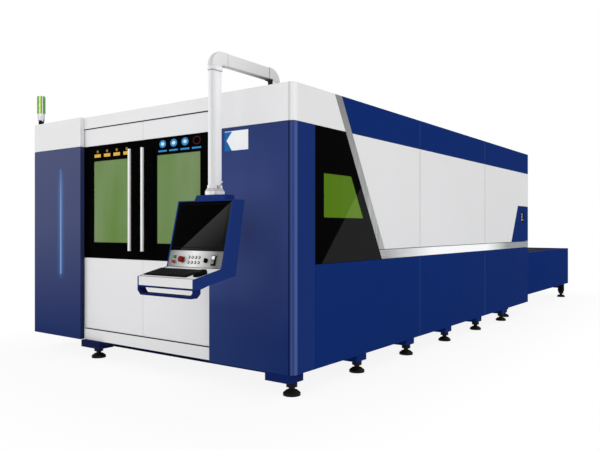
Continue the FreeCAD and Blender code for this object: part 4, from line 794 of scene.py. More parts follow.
def colour_setting(name, description, default):
    return bpy.props.FloatVectorProperty(name=name, description=description, subtype="COLOR",
                                         size=4, default=default, min=0.0, max=1.0)


def length_setting(name, description, default, least):
    return bpy.props.FloatProperty(name=name, description=description, default=default,
                                   min=least, unit="LENGTH")


def count_setting(name, description, default, most):
    return bpy.props.IntProperty(name=name, description=description, default=default,
                                 min=2, max=most)


class CutterFinishes(bpy.types.PropertyGroup):
    """Colours of the cabin."""
    blue: colour_setting("Blue enamel", "Covers of front and left side, bed", srgb(17, 42, 106))
    white: colour_setting("White enamel", "Caps, doors and side covers", srgb(224, 224, 225))
    trim: colour_setting("Silver trim", "Slanted strip and belt", srgb(160, 161, 161))
    window: colour_setting("Window tint", "Laser-safety windows of the doors",
                           srgb(100, 131, 66))


class CutterSlats(bpy.types.PropertyGroup):
    """Sizes of the saw-tooth slats."""
    count: count_setting("Slats", "Slats on one pallet", 39, 80)
    teeth: count_setting("Teeth", "Teeth along one slat", 36, 80)
    thickness: length_setting("Thickness", "Sheet thickness of a slat", 0.005, 0.001)
    depth: length_setting("Tooth depth", "From tip to root", 0.030, 0.005)


class CutterConsole(bpy.types.PropertyGroup):
    """Sizes of the console's fittings."""
    bezel: length_setting("Screen border", "Width of the border round the display",
                          0.016, 0.002)
    key_size: length_setting("Keycap", "Side of a keycap", 0.018, 0.005)
    columns: count_setting("Key columns", "Keycaps in one row", 16, 30)
    rows: count_setting("Key rows", "Rows of keycaps", 6, 10)


class CutterArm(bpy.types.PropertyGroup):
    """Sizes of the swing arm."""
    width: length_setting("Width", "Width of the box section", 0.045, 0.005)
    depth: length_setting("Depth", "Depth of the box section", 0.089, 0.005)
    bend: length_setting("Bend", "Inner radius of an elbow", 0.0115, 0.0)
    lip: length_setting("Lip", "How far an elbow stands proud of the section", 0.0035, 0.0)
    edge: length_setting("Edge radius", "Rounding of the section's edges", 0.007, 0.0005)


class CutterStudio(bpy.types.PropertyGroup):
    """Camera and light."""
    lens: bpy.props.FloatProperty(
        name="Lens", description="Focal length of the camera in millimetres", default=37.7,
        min=10.0, unit="CAMERA")
    eye_height: length_setting("Eye height", "Height of the camera above the floor",
                               1.1275, 0.1)
    key_power: bpy.props.FloatProperty(
        name="Key light", description="Power of the large front light", default=330.0,
        min=0.0, unit="POWER")
    ambient: bpy.props.FloatProperty(
        name="Ambient", description="Strength of the light from all round", default=0.62,
        min=0.0)


# ------------------------------------------------------------------ pieces

class CUTTER_OT_finishes(bpy.types.Operator):
    """Paint, brush and grain every piece of the machine itself"""
    bl_idname = "cutter.finishes"
    bl_label = "Finish the machine's pieces"
    bl_options = {"REGISTER", "UNDO"}

    def execute(self, context):
        colours = context.scene.cutter_finishes
        finishes = {**self.covers(tuple(colours.blue), tuple(colours.white)),
                    **self.sheets(tuple(colours.trim), tuple(colours.window)),
                    **self.metals(), **self.plastics()}
        named = {node for nodes in finishes.values() for node in nodes}
        bare = sorted(set(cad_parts) - named)
        if bare:
            raise RuntimeError(f"these nodes have no finish: {bare}")
        for material, nodes in finishes.items():
            for node in nodes:
                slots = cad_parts[node].data.materials
                slots.clear()
                slots.append(material)
        return {"FINISHED"}

    def covers(self, blue, white):
        """Enamelled sheet and sections."""
        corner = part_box("right_cabinet")
        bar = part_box("light_strip")
        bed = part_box("bed_frame")
        legs = bed[0].z + 0.118    # top of the table's dark legs
        return {
            # srgb(80, 96, 148) is the colour of the corner's painted highlight lines
            corner_enamel("corner blue enamel", blue, srgb(80, 96, 148), corner[1].x): (
                "right_cabinet",),
            seamed_enamel("blue enamel", srgb(17, 43, 106), srgb(50, 78, 130), 0.001): (
                "blue_band", "lower_side_panels", "tail_panel"),
            cap_enamel("corner white enamel", white, corner[1].x): ("corner_cap",),
            seamed_enamel("side white enamel", white, srgb(180, 180, 181), 0.004): (
                "upper_side_panels",),
            enamel("console enamel", srgb(26, 48, 108), coat=0.02): ("console_housing",),
            lit_enamel("blue enamel lit by the bar", blue, srgb(96, 140, 214),
                       middle_of("light_strip").x, bar[0].z, bar[1].z): ("left_cabinet",),
            enamel("white enamel", white, 0.4, 0.015): (
                "left_cap", "front_fascia", "door_sill", "left_door", "right_door",
                "roof_panels", "rear_wall", "rear_gate", "support_arm"),
            tray_enamel("tray enamel", white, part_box("keyboard_tray")[0].y): ("keyboard_tray",),
            two_tone_enamel("side enamel", blue, white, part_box("side_trim")[0].z): (
                "left_side_panels",),
            two_tone_enamel("table enamel", srgb(20, 20, 22), srgb(7, 40, 106), legs): (
                "table_frame",),
            enamel("frame enamel", srgb(196, 198, 200)): ("room_frame",),
            enamel("pallet enamel", srgb(66, 68, 72), 0.5, 0.15): ("upper_pallet", "lower_pallet"),
            # srgb(8, 14, 40) is the painted shade of the rail between the bed's front feet
            bed_enamel("bed enamel", blue, srgb(8, 14, 40), bed[0].x + 0.32, corner[0].x - 0.02,
                       FRONT + 0.2): ("bed_frame",),
            enamel("lower handle enamel", srgb(20, 32, 84), 0.4): ("console_handle",),
        }

    def sheets(self, trim, window):
        """Silver strip, glass and laser-safety sheet."""
        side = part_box("side_glass")[0].z
        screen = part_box("console_screen")
        # the slanted edge of each painted reflection (sheen), by two points (along, height)
        side_line = ((FRONT + 0.3345, side), (FRONT + 0.869, side + 0.56))
        screen_line = ((screen[0].x + 0.085, screen[0].z), (screen[1].x, screen[1].z))
        return {
            brushed_trim("trim lacquer", trim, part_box("upper_side_panels")[0].z): ("side_trim",),
            black_glass("side glass", srgb(34, 34, 35), "Y", side_line): ("side_glass",),
            black_glass("door glass"): ("left_door_glass", "right_door_glass"),
            black_glass("screen glass", srgb(50, 50, 51), "X", screen_line, 0.24): (
                "console_screen",),
            laser_window("front window", window, srgb(130, 152, 110), 0.95): (
                "left_door_window", "right_door_window"),
            laser_window("side window", srgb(77, 115, 2), srgb(104, 137, 52), 0.985,
                         side_line): ("side_window",),
        }

    def metals(self):
        """Bare and cast metal."""
        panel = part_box("control_panel")
        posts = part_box("left_door_handle")[0].y + 0.017
        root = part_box("clamp_lever")[0].x + 0.006
        return {
            bar_metal("handle metal", srgb(228, 228, 226), SOOT, posts): (
                "left_door_handle", "right_door_handle"),
            # the dark and bright ends of the panel's painted reflection
            panel_steel("panel metal", srgb(84, 84, 83), srgb(222, 222, 220), panel[0].x,
                        panel[1].x): ("control_panel",),
            brushed_metal("ground rail steel", srgb(186, 188, 192), (1, 0.02, 1), 0.22): (
                "bed_rails", "bed_racks"),
            brushed_metal("anodised beam", srgb(196, 198, 202), (0.03, 1, 1), 0.36, 0.8): (
                "gantry_beam", "head_carriage", "head_slide"),
            brushed_metal("head shell", srgb(206, 208, 212), (1, 1, 0.05), 0.28, 0.9): (
                "cutting_head",),
            brushed_metal("tower metal", srgb(190, 192, 194), (1, 1, 0.05), 0.3): (
                "signal_tower",),
            cast_iron("feet casting", SOOT): ("levelling_feet", "arm_base"),
            cut_steel("upper slat steel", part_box("upper_slats")[1].z): ("upper_slats",),
            cut_steel("lower slat steel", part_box("lower_slats")[1].z): ("lower_slats",),
            lever_metal("lever steel", srgb(206, 207, 206), srgb(18, 18, 19), root): (
                "clamp_lever",),
        }

    def plastics(self):
        """Moulded plastic, the lit bar and the lens of the lamp."""
        bar, lamp = middle_of("light_strip"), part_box("tower_lamp")
        return {
            grained_plastic("black grained plastic", SOOT): (
                "rear_station", "selector_knob", "port_cover", "keyboard"),
            grained_plastic("mouse plastic", CHARCOAL, 0.5): ("mouse",),
            grained_plastic("pale button plastic", srgb(214, 214, 212)): ("panel_buttons",),
            glossy_plastic("red plastic", srgb(122, 8, 8)): ("estop_button", "rear_stop_button"),
            glossy_plastic("pale red plastic", srgb(146, 56, 54)): ("stop_button",),
            glossy_plastic("green plastic", srgb(86, 154, 98)): ("start_button",),
            light_bar("light bar", srgb(94, 154, 212), bar.x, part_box("light_strip")[1].z): (
                "light_strip",),
            lens("tower lens", srgb(52, 122, 24), srgb(206, 226, 96), middle_of("tower_lamp"),
                 (lamp[1].x - lamp[0].x) / 2): ("tower_lamp",),
        }


class CUTTER_OT_slats(bpy.types.Operator):
    """Rows of saw-tooth slats on both pallets"""
    bl_idname = "cutter.slats"
    bl_label = "Fill the pallets with slats"
    bl_options = {"REGISTER", "UNDO"}

    def execute(self, context):
        sizes = context.scene.cutter_slats
        for pallet in ("upper", "lower"):
            node = f"{pallet}_slats"
            low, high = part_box(node)
            step = (high.x - low.x) / sizes.teeth
            root = high.z - sizes.depth
            outline = [(low.x, low.z), (high.x, low.z), (high.x, root)]
            for number in range(sizes.teeth - 1, -1, -1):
                outline += [(low.x + step * (number + 0.56), high.z),
                            (low.x + step * (number + 0.44), high.z),
                            (low.x + step * number, root)]
            slats = slab(f"{pallet}_slat_rows", [outline], low.y, low.y + sizes.thickness,
                         facing_front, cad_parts[node].data.materials[0])
            spacing = (high.y - low.y - sizes.thickness) / (sizes.count - 1)
            in_row(slats, sizes.count, (0.0, spacing, 0.0))
            seat(slats, f"{pallet}_pallet", "slat_steel", node)
        return {"FINISHED"}


class CUTTER_OT_arm(bpy.types.Operator):
    """Swing arm in one skin, with clamp foot and two cast elbows, and its turntable"""
    bl_idname = "cutter.arm"
    bl_label = "Build the swing arm"
    bl_options = {"REGISTER", "UNDO"}

    FOOT_DEPTH = 0.053     # half the depth of the clamp's foot
    ELBOW_EDGE = 0.012     # rounding of an elbow's edges
    ELBOW_STEPS = 10

    def execute(self, context):
        sizes = context.scene.cutter_arm
        low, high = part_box("support_arm")
        middle = middle_of("support_arm").x
        wide, deep, lip = sizes.width / 2, sizes.depth / 2, sizes.lip
        level = high.z - sizes.bend - sizes.depth - lip
        rear = high.y - deep - lip
        rear_axis = rear - deep - sizes.bend
        front = low.y + self.FOOT_DEPTH - deep
        front_axis = front + sizes.depth + sizes.bend
        white = arm_enamel("arm enamel", middle, wide, front, (front_axis, rear_axis), level,
                           sizes.bend, low.z)
        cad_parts["support_arm"].data.materials[0] = white

        def section(axis, degrees, shift, half_width, half_depth, edge=sizes.edge):
            """Outline across the arm; it turns about an axis along X and then shifts on."""
            turn = math.radians(degrees)
            out = Vector((0.0, math.cos(turn), math.sin(turn)))
            onward = Vector((0.0, math.sin(turn), -math.cos(turn)))
            centre = Vector((middle, axis, level)) + onward * shift
            return [centre + out * (sizes.bend + deep + v) + Vector((u, 0.0, 0.0))
                    for u, v in rounded(-half_width, -half_depth, half_width, half_depth, edge)]

        def stack(*rings):
            """Sections of the clamp foot and the post, by height."""
            return [section(front_axis, 180, height - level, half_width, half_depth)
                    for height, half_width, half_depth in rings]

        def elbow(axis, first):
            """A quarter turn from an angle on."""
            return [section(axis, first - 90 * step / self.ELBOW_STEPS, 0.0, wide + lip,
                            deep + lip, self.ELBOW_EDGE) for step in range(self.ELBOW_STEPS + 1)]

        def beam(axis, *rings):
            """Sections of the beam, by how far they stand past an axis and over its skin."""
            return [section(axis, 90, shift, wide + over, deep + over) for shift, over in rings]

        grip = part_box("clamp_lever")[0].x - middle - 0.0003
        start, roof = low.z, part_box("arm_base")[1].z + 0.0005
        loops = stack(
            (start, 0.039, 0.050), (start + 0.003, 0.042, self.FOOT_DEPTH),
            (start + 0.025, 0.042, self.FOOT_DEPTH), (start + 0.029, 0.0405, 0.0515),
            (start + 0.043, 0.029, 0.0495), (start + 0.047, grip, deep + lip),
            (start + 0.063, grip, deep + lip), (start + 0.066, wide + 0.001, deep + 0.001),
            (start + 0.066, wide, deep), (level - 0.032, wide, deep),
            (level - 0.032, 0.0260, 0.0480), (level - 0.029, 0.0285, 0.0500),
            (level - 0.008, 0.0285, 0.0500), (level - 0.005, wide + lip, deep + lip))
        loops += elbow(front_axis, 180)
        loops += beam(front_axis, (0.041, lip), (0.045, lip - 0.002), (0.045, 0.0))
        loops += beam(rear_axis, (-0.0225, 0.0), (-0.0225, lip - 0.002), (-0.019, lip))
        loops += elbow(rear_axis, 90)
        loops.append(section(rear_axis, 0, level - roof, wide + lip, deep + lip,
                             self.ELBOW_EDGE))
        builder = bmesh.new()
        loft(builder, loops)
        seat(publish("swing_arm", builder, white, 40), "arm", "white_paint", "support_arm")

        top = level - 0.022
        profile = [(0.0, top - 0.035), (0.066, top - 0.035), (0.068, top - 0.031),
                   (0.068, top - 0.010), (0.064, top - 0.007), (0.064, top - 0.002),
                   (0.060, top), (0.0, top)]
        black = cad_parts["arm_base"].data.materials[0]
        seat(turned("arm_turntable", [(profile, upright(middle, rear))], black, 35, 56), "arm",
             "black_steel")
        return {"FINISHED"}


class CUTTER_OT_console(bpy.types.Operator):
    """Collars and rims of the buttons, the port and the rim of the display"""
    bl_idname = "cutter.console"
    bl_label = "Fit the console"
    bl_options = {"REGISTER", "UNDO"}

    def execute(self, context):
        self.collars()
        self.rims()
        self.port()
        self.display(context.scene.cutter_console.bezel)
        return {"FINISHED"}

    def collars(self):
        """Bright collars of the emergency stop, start and stop buttons."""
        steel = brushed_metal("collar steel", srgb(170, 170, 172), (1, 1, 1), 0.25)
        # along the console, above the floor, bore, outer radius, height
        spots = ((0.142, 0.921, 0.0208, 0.0250, 0.0045), (0.064, 0.939, 0.0117, 0.0152, 0.0035),
                 (0.066, 0.905, 0.0117, 0.0152, 0.0035))
        parts = []
        for along, level, bore, radius, height in spots:
            profile = [(bore, 0.0), (radius, 0.0), (radius, height * 0.6),
                       (radius * 0.96, height), (bore, height), (bore, 0.0)]
            parts.append((profile, console_matrix(along, level)))
        seat(turned("button_collars", parts, steel, 35, 40), "console", "panel_metal")

    def rims(self):
        """Black rims of the small buttons, two rows of four."""
        dark = grained_plastic("button rim plastic", SOOT)
        bore, radius, height = 0.0061, 0.0098, 0.003
        profile = [(bore, 0.0), (radius, 0.0), (radius, height - 0.001),
                   (radius - 0.001, height), (bore, height), (bore, 0.0)]
        lower = console_matrix(0.200, 0.905)
        upper = lower @ Matrix.Translation((0.0, 0.034, 0.0))
        rims = turned("panel_button_rims", [(profile, lower), (profile, upper)], dark, 35, 32)
        seat(in_row(rims, 4, (0.031, 0.0, 0.0)), "console", "black_plastic")

    def port(self):
        """Hinge ears of the port cover, its pale flap and its plate."""
        steel = brushed_metal("hinge pin steel", srgb(150, 150, 152), (0.05, 1, 1), 0.3)
        profile = [(0.0, 0.0), (0.0026, 0.0), (0.0032, 0.0006), (0.0032, 0.0039),
                   (0.0026, 0.0045), (0.0, 0.0045)]
        ears = [(profile, sideways(console_matrix(along, 0.953, 0.0032)))
                for along in (0.4030, 0.4425)]
        seat(turned("port_hinge_ears", ears, steel, 35, 24), "console", "panel_metal")
        pale = grained_plastic("port flap plastic", srgb(232, 232, 230), 0.4)
        grey = brushed_metal("port plate steel", srgb(112, 113, 114), (1, 0.05, 1), 0.35, 0.3)
        plates = (("port_flap", pale, 0.413, 0.4375, 0.927, 0.949, "white_plastic"),
                  ("port_plate", grey, 0.414, 0.433, 0.899, 0.922, "panel_metal"))
        for name, finish, left, right, low, high, slot in plates:
            outline = rounded(0.0, 0.0, right - left, (high - low) / math.cos(CONSOLE_TILT),
                              0.002)
            place = within(console_matrix(left, low, 0.0100))
            plate = slab(name, [outline], -0.001, 0.0014, place, finish, 35)
            seat(plate, "port_cover", slot)

    def display(self, margin):
        """Thin rim round the part of the screen that shows a picture."""
        rim = grained_plastic("screen rim plastic", srgb(2, 2, 3), 0.5)
        low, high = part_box("console_screen")
        bottom = low.z + margin
        run = (high.z - margin - bottom) / math.cos(CONSOLE_TILT)
        place = within(console_matrix(low.x + margin - CONSOLE_LEFT, bottom))
        bars = border(0.0, 0.0, high.x - low.x - 2 * margin, run, 0.003)
        seat(slab("screen_rim", bars, -0.0002, 0.0012, place, rim), "console", "black_plastic")


class CUTTER_OT_keyboard(bpy.types.Operator):
    """Keyboard with a shell and separate keycaps"""
    bl_idname = "cutter.keyboard"
    bl_label = "Build the keyboard"
    bl_options = {"REGISTER", "UNDO"}

    LEAN = math.atan(0.051 / 0.243)    # slope of the tray
    THICK = 0.018                      # thickness of the plain keyboard of the CAD model
    MARGIN = 0.010                     # shell round the field of keys

    def execute(self, context):
        sizes = context.scene.cutter_console
        low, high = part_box("keyboard")
        corners = [vertex.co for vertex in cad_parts["keyboard"].data.vertices]
        foot = min(corners, key=lambda spot: (round(spot.y, 4), round(spot.z, 4)))
        base = Matrix.Translation((low.x, foot.y, low.z)) @ Matrix.Rotation(self.LEAN, 4, "X")
        place = within(base)
        width = high.x - low.x
        length = (high.y - low.y) / math.cos(self.LEAN) - self.THICK * math.tan(self.LEAN)
        plastic = grained_plastic("keyboard shell", CHARCOAL)
        shell = slab("keyboard_shell", [rectangle(0.0, 0.0, width, length)], 0.0, 0.007, place,
                     plastic, 35)
        seat(shell, "console", "black_plastic", "keyboard")

        step_x = (width - self.MARGIN * 2) / sizes.columns
        step_y = (length - self.MARGIN * 2) / sizes.rows
        wide = min(sizes.key_size, step_x * 0.86)
        deep = min(sizes.key_size, step_y * 0.84)
        left, near = self.MARGIN + (step_x - wide) / 2, self.MARGIN + (step_y - deep) / 2
        taper = 0.0022
        bottom = rectangle(left, near, left + wide, near + deep)
        top = rectangle(left + taper, near + taper, left + wide - taper,
                        near + deep - taper / 2)
        builder = bmesh.new()
        loft(builder, [[place(u, v, w) for u, v in outline]
                       for outline, w in ((bottom, 0.006), (top, 0.0115))])
        caps = publish("keycaps", builder, grained_plastic("keycap plastic", srgb(26, 26, 28),
                                                           0.45))
        in_row(caps, sizes.columns, (step_x, 0.0, 0.0))
        in_row(caps, sizes.rows, tuple(base.to_3x3() @ Vector((0.0, step_y, 0.0))))
        seat(caps, "console", "black_plastic")
        return {"FINISHED"}


class CUTTER_OT_doors(bpy.types.Operator):
    """Gaskets round the windows, dark strips of painted shade in the door gaps and plain coloured
    spots on the door glass
    """
    bl_idname = "cutter.doors"
    bl_label = "Dress the doors"
    bl_options = {"REGISTER", "UNDO"}

    LAP = 0.010            # how far the glass covers the edge of a window
    PROUD = 0.0006         # how far a spot stands before the glass
    SUNK = 0.0002          # and how far it reaches into it
    LEFT_STEP = 0.130
    RIGHT_STEP = 0.126

    def execute(self, context):
        black_gasket_and_shade = grained_plastic("window gasket and gap shade", srgb(12, 12, 13), 0.6)
        self.gap_shade_strips(black_gasket_and_shade)
        for side, spots in (("left", self.left_spots), ("right", self.right_spots)):
            low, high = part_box(f"{side}_door_window")
            front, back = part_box(f"{side}_door_glass")
            left, right = low.x + self.LAP, high.x - self.LAP
            foot, head = low.z + self.LAP, high.z - self.LAP
            bars = border(left, foot, right, head, 0.004)
            gasket = slab(f"{side}_window_gasket", bars, front.y + 0.0005, back.y,
                          facing_front, black_gasket_and_shade)
            seat(gasket, f"{side}_door", "black_plastic")
            spots(left, head, front.y)
        return {"FINISHED"}

    def gap_shade_strips(self, black_gasket_and_shade):
        """Dark strips of painted shade in the gaps over and under the doors."""
        sill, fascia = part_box("door_sill"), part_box("front_fascia")
        left, right = sill[0].x, sill[1].x
        over = rectangle(left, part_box("left_door")[1].z + 0.0008, right, fascia[0].z - 0.0002)
        under = rectangle(left, sill[1].z - 0.0078, right, sill[1].z - 0.0004)
        # dark strips of painted shade in the gaps over and under the doors
        strips = (("door_head_shade_strip", over, fascia[0].y + 0.004, fascia[1].y),
                  ("door_sill_shade_strip", under, sill[0].y + 0.0025, sill[0].y + 0.0070))
        for name, outline, near, far in strips:
            seat(slab(name, [outline], near, far, facing_front, black_gasket_and_shade), "cabin",
                 "black_plastic")

    def left_spots(self, left, head, near):
        """A row of plain bars under a row of dots, over the left window."""
        amber = glossy_plastic("amber spot", srgb(214, 170, 64), 0.3)
        dim = glossy_plastic("dim amber spot", srgb(132, 108, 52), 0.3)
        bar = rectangle(left + 0.014, head + 0.029, left + 0.100, head + 0.056)
        dot = oval(left + 0.057, head + 0.078, 0.014, 0.013, 24)
        self.row("left_door_spots", bar, near, amber, 4, self.LEFT_STEP)
        self.row("left_door_dots", dot, near, dim, 4, self.LEFT_STEP)

    def right_spots(self, left, head, near):
        """Discs with pale centres, plain bars and one ring, over the right window."""
        azure = glossy_plastic("azure spot", srgb(48, 132, 190), 0.3)
        pale = glossy_plastic("pale azure spot", srgb(196, 222, 236), 0.3)
        dull_red = glossy_plastic("dull red spot", srgb(88, 16, 20), 0.3)
        middle = (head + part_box("right_door_glass")[1].z) / 2
        x, z = left + 0.071, middle + 0.015
        disc, centre = oval(x, z, 0.038, 0.030), oval(x, z, 0.019, 0.014, 24)
        bar = rectangle(left + 0.021, middle - 0.047, left + 0.118, middle - 0.034)
        self.row("right_door_discs", disc, near, azure, 3, self.RIGHT_STEP)
        self.row("right_door_disc_centres", centre, near - 0.0003, pale, 3, self.RIGHT_STEP)
        self.row("right_door_bars", bar, near, azure, 4, self.RIGHT_STEP)
        x += self.RIGHT_STEP * 3
        builder = bmesh.new()
        frame_of(builder, oval(x, z, 0.039, 0.031, 48), oval(x, z, 0.034, 0.0265, 48),
                 near - self.PROUD, near + self.SUNK, facing_front)
        seat(publish("right_door_red_ring", builder, dull_red), "right_door", "white_plastic")

    def row(self, name, outline, near, material, count, step):
        """Flat spots of one outline along the glass of the door that the name begins with."""
        spot = slab(name, [outline], near - self.PROUD, near + self.SUNK, facing_front,
                    material)
        side = name.split("_")[0]
        seat(in_row(spot, count, (step, 0.0, 0.0)), f"{side}_door", "white_plastic")


class CUTTER_OT_plate(bpy.types.Operator):
    """Blank two-tone plate on the right front cover"""
    bl_idname = "cutter.plate"
    bl_label = "Hang the blank plate"
    bl_options = {"REGISTER", "UNDO"}

    def execute(self, context):
        white = enamel("plate white", srgb(236, 238, 240), 0.3, 0.01)
        blue = enamel("plate blue", srgb(24, 104, 172), 0.3, 0.03)
        left, low, wide, tall = 0.919, 1.677, 0.221, 0.139
        head = low + tall * 0.97
        sheet = rectangle(left, low, left + wide, low + tall)
        field = [(left, low), (left + wide * 0.31, low), (left + wide * 0.08, low + tall * 0.53),
                 (left + wide * 0.32, head), (left, head)]
        seat(slab("blank_plate", [sheet], FRONT - 0.0012, FRONT, facing_front, white),
             "cabin", "white_paint")
        seat(slab("blank_plate_field", [field], FRONT - 0.0018, FRONT - 0.0010, facing_front,
                  blue), "cabin", "blue_paint")
        return {"FINISHED"}


class CUTTER_OT_signal(bpy.types.Operator):
    """Signal lamp: banded lens, rod, foot and collar"""
    bl_idname = "cutter.signal"
    bl_label = "Build the signal lamp"
    bl_options = {"REGISTER", "UNDO"}

    BANDS = 3
    FOOT_HEIGHT = 0.042
    ROD_SIDE = Vector((0.956, -0.292, 0.0))    # where the rod runs, seen from the lens's axis

    def execute(self, context):
        low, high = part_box("tower_lamp")
        centre = middle_of("tower_lamp")
        axis = upright(centre.x, centre.y)
        radius = (high.x - low.x) / 2
        top = high.z - 0.006
        band = (top - low.z) * 0.97 / self.BANDS
        profile = [(0.0, low.z)]
        for number in range(self.BANDS):
            start, end = low.z + band * number, low.z + band * (number + 1)
            profile += [(radius * 0.93, start), (radius, start + 0.003), (radius, end - 0.003),
                        (radius * 0.93, end)]
        profile += [(radius * 0.96, top - 0.002), (radius * 0.92, top), (0.0, top)]
        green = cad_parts["tower_lamp"].data.materials[0]
        seat(turned("signal_lens", [(profile, axis)], green, 40), "cabin", "lamp_plastic",
             "tower_lamp")

        floor, head = (corner.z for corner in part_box("signal_tower"))
        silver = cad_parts["signal_tower"].data.materials[0]
        black = grained_plastic("tower foot plastic", srgb(20, 20, 22))
        rod = [(0.0, floor + 0.030), (0.005, floor + 0.032), (0.005, high.z - 0.002),
               (0.003, high.z), (0.0, high.z)]
        rod_axis = axis @ Matrix.Translation(self.ROD_SIDE * (radius + 0.001))
        seat(turned("tower_rod", [(rod, rod_axis)], silver, 40, 24), "cabin", "silver_trim")
        base = floor + self.FOOT_HEIGHT
        foot = [(0.0, floor), (0.024, floor), (0.024, base), (0.0, base)]
        seat(turned("tower_foot", [(foot, axis)], black, 40, 40), "cabin", "black_plastic",
             "signal_tower")
        collar = [(0.0, base), (0.030, base), (0.032, base + 0.004), (0.032, base + 0.020),
                  (0.030, base + 0.022), (0.030, base + 0.026), (0.032, base + 0.028),
                  (0.032, head), (0.0, head)]
        seat(turned("tower_collar", [(collar, axis)], silver, 40), "cabin", "silver_trim")
        return {"FINISHED"}


class CUTTER_OT_hardware(bpy.types.Operator):
    """Bolts of the arm's base, lamps of the rear station, nozzle and rings of the head"""
    bl_idname = "cutter.hardware"
    bl_label = "Fit bolts, lamps and nozzle"
    bl_options = {"REGISTER", "UNDO"}

    def execute(self, context):
        self.bolts()
        self.station_lamps()
        self.head()
        return {"FINISHED"}

    def bolts(self):
        """Eight bolts with washers on the flange of the arm's base."""
        steel = brushed_metal("zinc bolt", srgb(176, 178, 182), (1, 1, 1), 0.3)
        profile = [(0.0, 0.0), (0.010, 0.0), (0.010, 0.0015), (0.0075, 0.0015),
                   (0.0075, 0.007), (0.0065, 0.008), (0.0, 0.008)]
        bolts = turned("arm_base_bolts", [(profile, Matrix.Identity(4))], steel, sides=6)
        base = middle_of("arm_base")
        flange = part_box("arm_base")[0].z + 0.014
        seat(in_ring(bolts, 8, 0.066, (base.x, base.y, flange)), "cabin", "bright_steel")

    def station_lamps(self):
        """Three pale lamps in a column on the button station of the tail."""
        cream = glossy_plastic("cream lamp", srgb(232, 214, 168), 0.25)
        low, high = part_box("rear_station")
        spot = Matrix.Translation((high.x, low.y + 0.030, high.z - 0.028))
        profile = [(0.0, -0.001), (0.0115, -0.001), (0.0115, 0.002), (0.009, 0.0042),
                   (0.0, 0.005)]
        lamps = turned("station_lamps", [(profile, sideways(spot))], cream, 40, 28)
        seat(in_row(lamps, 3, (0.0, 0.0, -0.034)), "cabin", "white_plastic")

    def head(self):
        """Copper nozzle and dark rings of the cutting head."""
        copper = brushed_metal("copper nozzle", srgb(196, 128, 72), (1, 1, 0.2), 0.25)
        dark = brushed_metal("head ring", srgb(60, 62, 66), (1, 1, 1), 0.3)
        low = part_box("cutting_head")[0]
        axis = upright(middle_of("cutting_head").x, low.y + 0.042)
        tip = low.z
        nozzle = [(0.0, tip), (0.0044, tip), (0.0108, tip + 0.0208), (0.0112, tip + 0.022),
                  (0.0, tip + 0.022)]
        seat(turned("nozzle", [(nozzle, axis)], copper, 35, 40), "head", "head_metal")
        bore, radius, height = 0.0415, 0.0432, 0.010
        rings = []
        for level in (tip + 0.105, tip + 0.150, tip + 0.225):
            ring = [(bore, level), (radius, level + 0.001), (radius, level + height - 0.001),
                    (bore, level + height), (bore, level)]
            rings.append((ring, axis))
        seat(turned("head_rings", rings, dark, 35), "head", "head_metal")


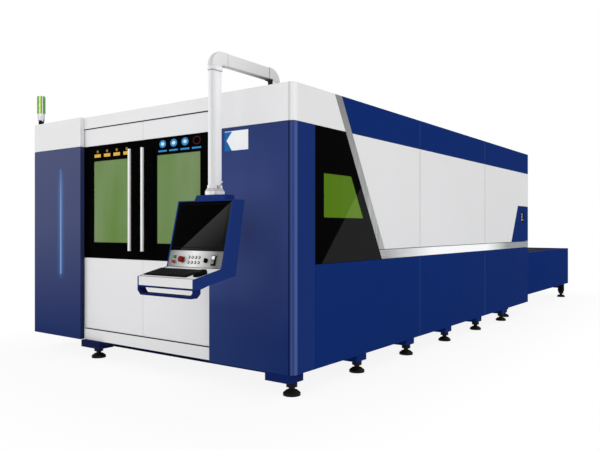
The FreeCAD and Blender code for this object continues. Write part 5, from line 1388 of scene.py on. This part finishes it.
class CUTTER_OT_studio(bpy.types.Operator):
    """Floor, lights and the camera at the photograph's angle"""
    bl_idname = "cutter.studio"
    bl_label = "Set up the studio"
    bl_options = {"REGISTER", "UNDO"}

    LAMPS = (    # name, place, target, side of the square, share of the key light's power
        ("key light", (-3.0, -12.0, 4.0), (0.2, -2.0, 1.0), 11.0, 1.0),
        ("fill light", (7.5, -10.5, 3.5), (1.0, -3.0, 1.0), 9.0, 0.75),
        ("side light", (13.0, 2.5, 4.5), (1.5, 1.0, 1.0), 12.0, 0.95),
        ("top light", (0.0, 0.5, 9.5), (0.0, 0.5, 0.0), 9.0, 1.0),
    )

    def execute(self, context):
        studio = context.scene.cutter_studio
        self.camera(studio)
        self.floor()
        self.world(studio.ambient)
        for name, place, target, size, share in self.LAMPS:
            data = bpy.data.lights.new(name, "AREA")
            data.shape = "SQUARE"
            data.size = size
            data.energy = studio.key_power * share
            self.stand(name, data, place, Vector(target) - Vector(place))
        context.scene.view_settings.view_transform = "Standard"
        return {"FINISHED"}

    def stand(self, name, data, place, forward):
        """Put a camera or a lamp in its place, looking forward."""
        thing = bpy.data.objects.new(name, data)
        thing.location = place
        thing.rotation_euler = forward.to_track_quat("-Z", "Y").to_euler()
        bpy.context.scene.collection.objects.link(thing)
        return thing

    def camera(self, studio):
        data = bpy.data.cameras.new("photo camera")
        data.sensor_width = 36.0
        data.lens = studio.lens
        data.shift_y = 0.005
        eye = self.stand("photo camera", data, (4.013, -6.874, studio.eye_height),
                         Vector((-0.5902, 0.8073, 0.0)))
        bpy.context.scene.camera = eye

    def floor(self):
        """White ground that takes a faint shadow near the machine and is plain farther off."""
        finish = Finish("studio floor", 0.6)
        finish.paint(finish.wear((0.9, 0.9, 0.9, 1.0), 0.01, 0.3))
        outside = [abs(finish.axis(axis) - (low + high) / 2) - (high - low) / 2
                   for axis, low, high in zip("XY", *CAD_BOX)]
        x, y = (gap.at_least(0.0) for gap in outside)
        white = finish.add("ShaderNodeEmission", {}, {"Color": WHITE})
        share = finish.shown() * (x ** 2.0 + y ** 2.0).ramp(0.0, 1.2, 0.89, 1.0)
        finish.blend(share, Wire(finish, finish.shader.outputs[0]), white, "Material Output")
        ground = slab("studio_floor", [rectangle(-40.0, -40.0, 40.0, 40.0)], -0.05, 0.0,
                      within(Matrix.Identity(4)), finish.material)

    def world(self, ambient):
        """White wherever the camera looks, and dimmer as a light."""
        world = bpy.data.worlds.new("studio sky")
        world.use_nodes = True
        sky = Graph(world.node_tree)
        dim, white = (sky.add("ShaderNodeBackground", {}, {"Color": WHITE, "Strength": strength})
                      for strength in (ambient, 1.0))
        sky.blend(sky.shown(), dim, white, "World Output")
        bpy.context.scene.world = world


class CUTTER_PT_panel(bpy.types.Panel):
    """Every step and size of the dressing"""
    bl_idname = "CUTTER_PT_panel"
    bl_label = "Laser cutter"
    bl_space_type = "VIEW_3D"
    bl_region_type = "UI"
    bl_category = "Laser cutter"

    def draw(self, context):
        for group_name in GROUPS:
            group = getattr(context.scene, group_name)
            box = self.layout.box()
            for key in group.bl_rna.properties.keys():
                if key not in {"rna_type", "name"}:
                    box.prop(group, key)
        for step in STEPS:
            self.layout.operator(step.bl_idname)


GROUPS = {
    "cutter_finishes": CutterFinishes,
    "cutter_slats": CutterSlats,
    "cutter_console": CutterConsole,
    "cutter_arm": CutterArm,
    "cutter_studio": CutterStudio,
}
STEPS = (
    CUTTER_OT_finishes,
    CUTTER_OT_slats,
    CUTTER_OT_arm,
    CUTTER_OT_console,
    CUTTER_OT_keyboard,
    CUTTER_OT_doors,
    CUTTER_OT_plate,
    CUTTER_OT_signal,
    CUTTER_OT_hardware,
    CUTTER_OT_studio,
)


def register():
    for group_name, group in GROUPS.items():
        bpy.utils.register_class(group)
        setattr(bpy.types.Scene, group_name, bpy.props.PointerProperty(type=group))
    for step in STEPS:
        bpy.utils.register_class(step)
    bpy.utils.register_class(CUTTER_PT_panel)


def unregister():
    bpy.utils.unregister_class(CUTTER_PT_panel)
    for step in reversed(STEPS):
        bpy.utils.unregister_class(step)
    for group_name, group in reversed(GROUPS.items()):
        delattr(bpy.types.Scene, group_name)
        bpy.utils.unregister_class(group)


def main():
    register()
    for step in STEPS:
        getattr(bpy.ops.cutter, step.bl_idname.split(".")[1])()


if __name__ == "__main__":
    main()
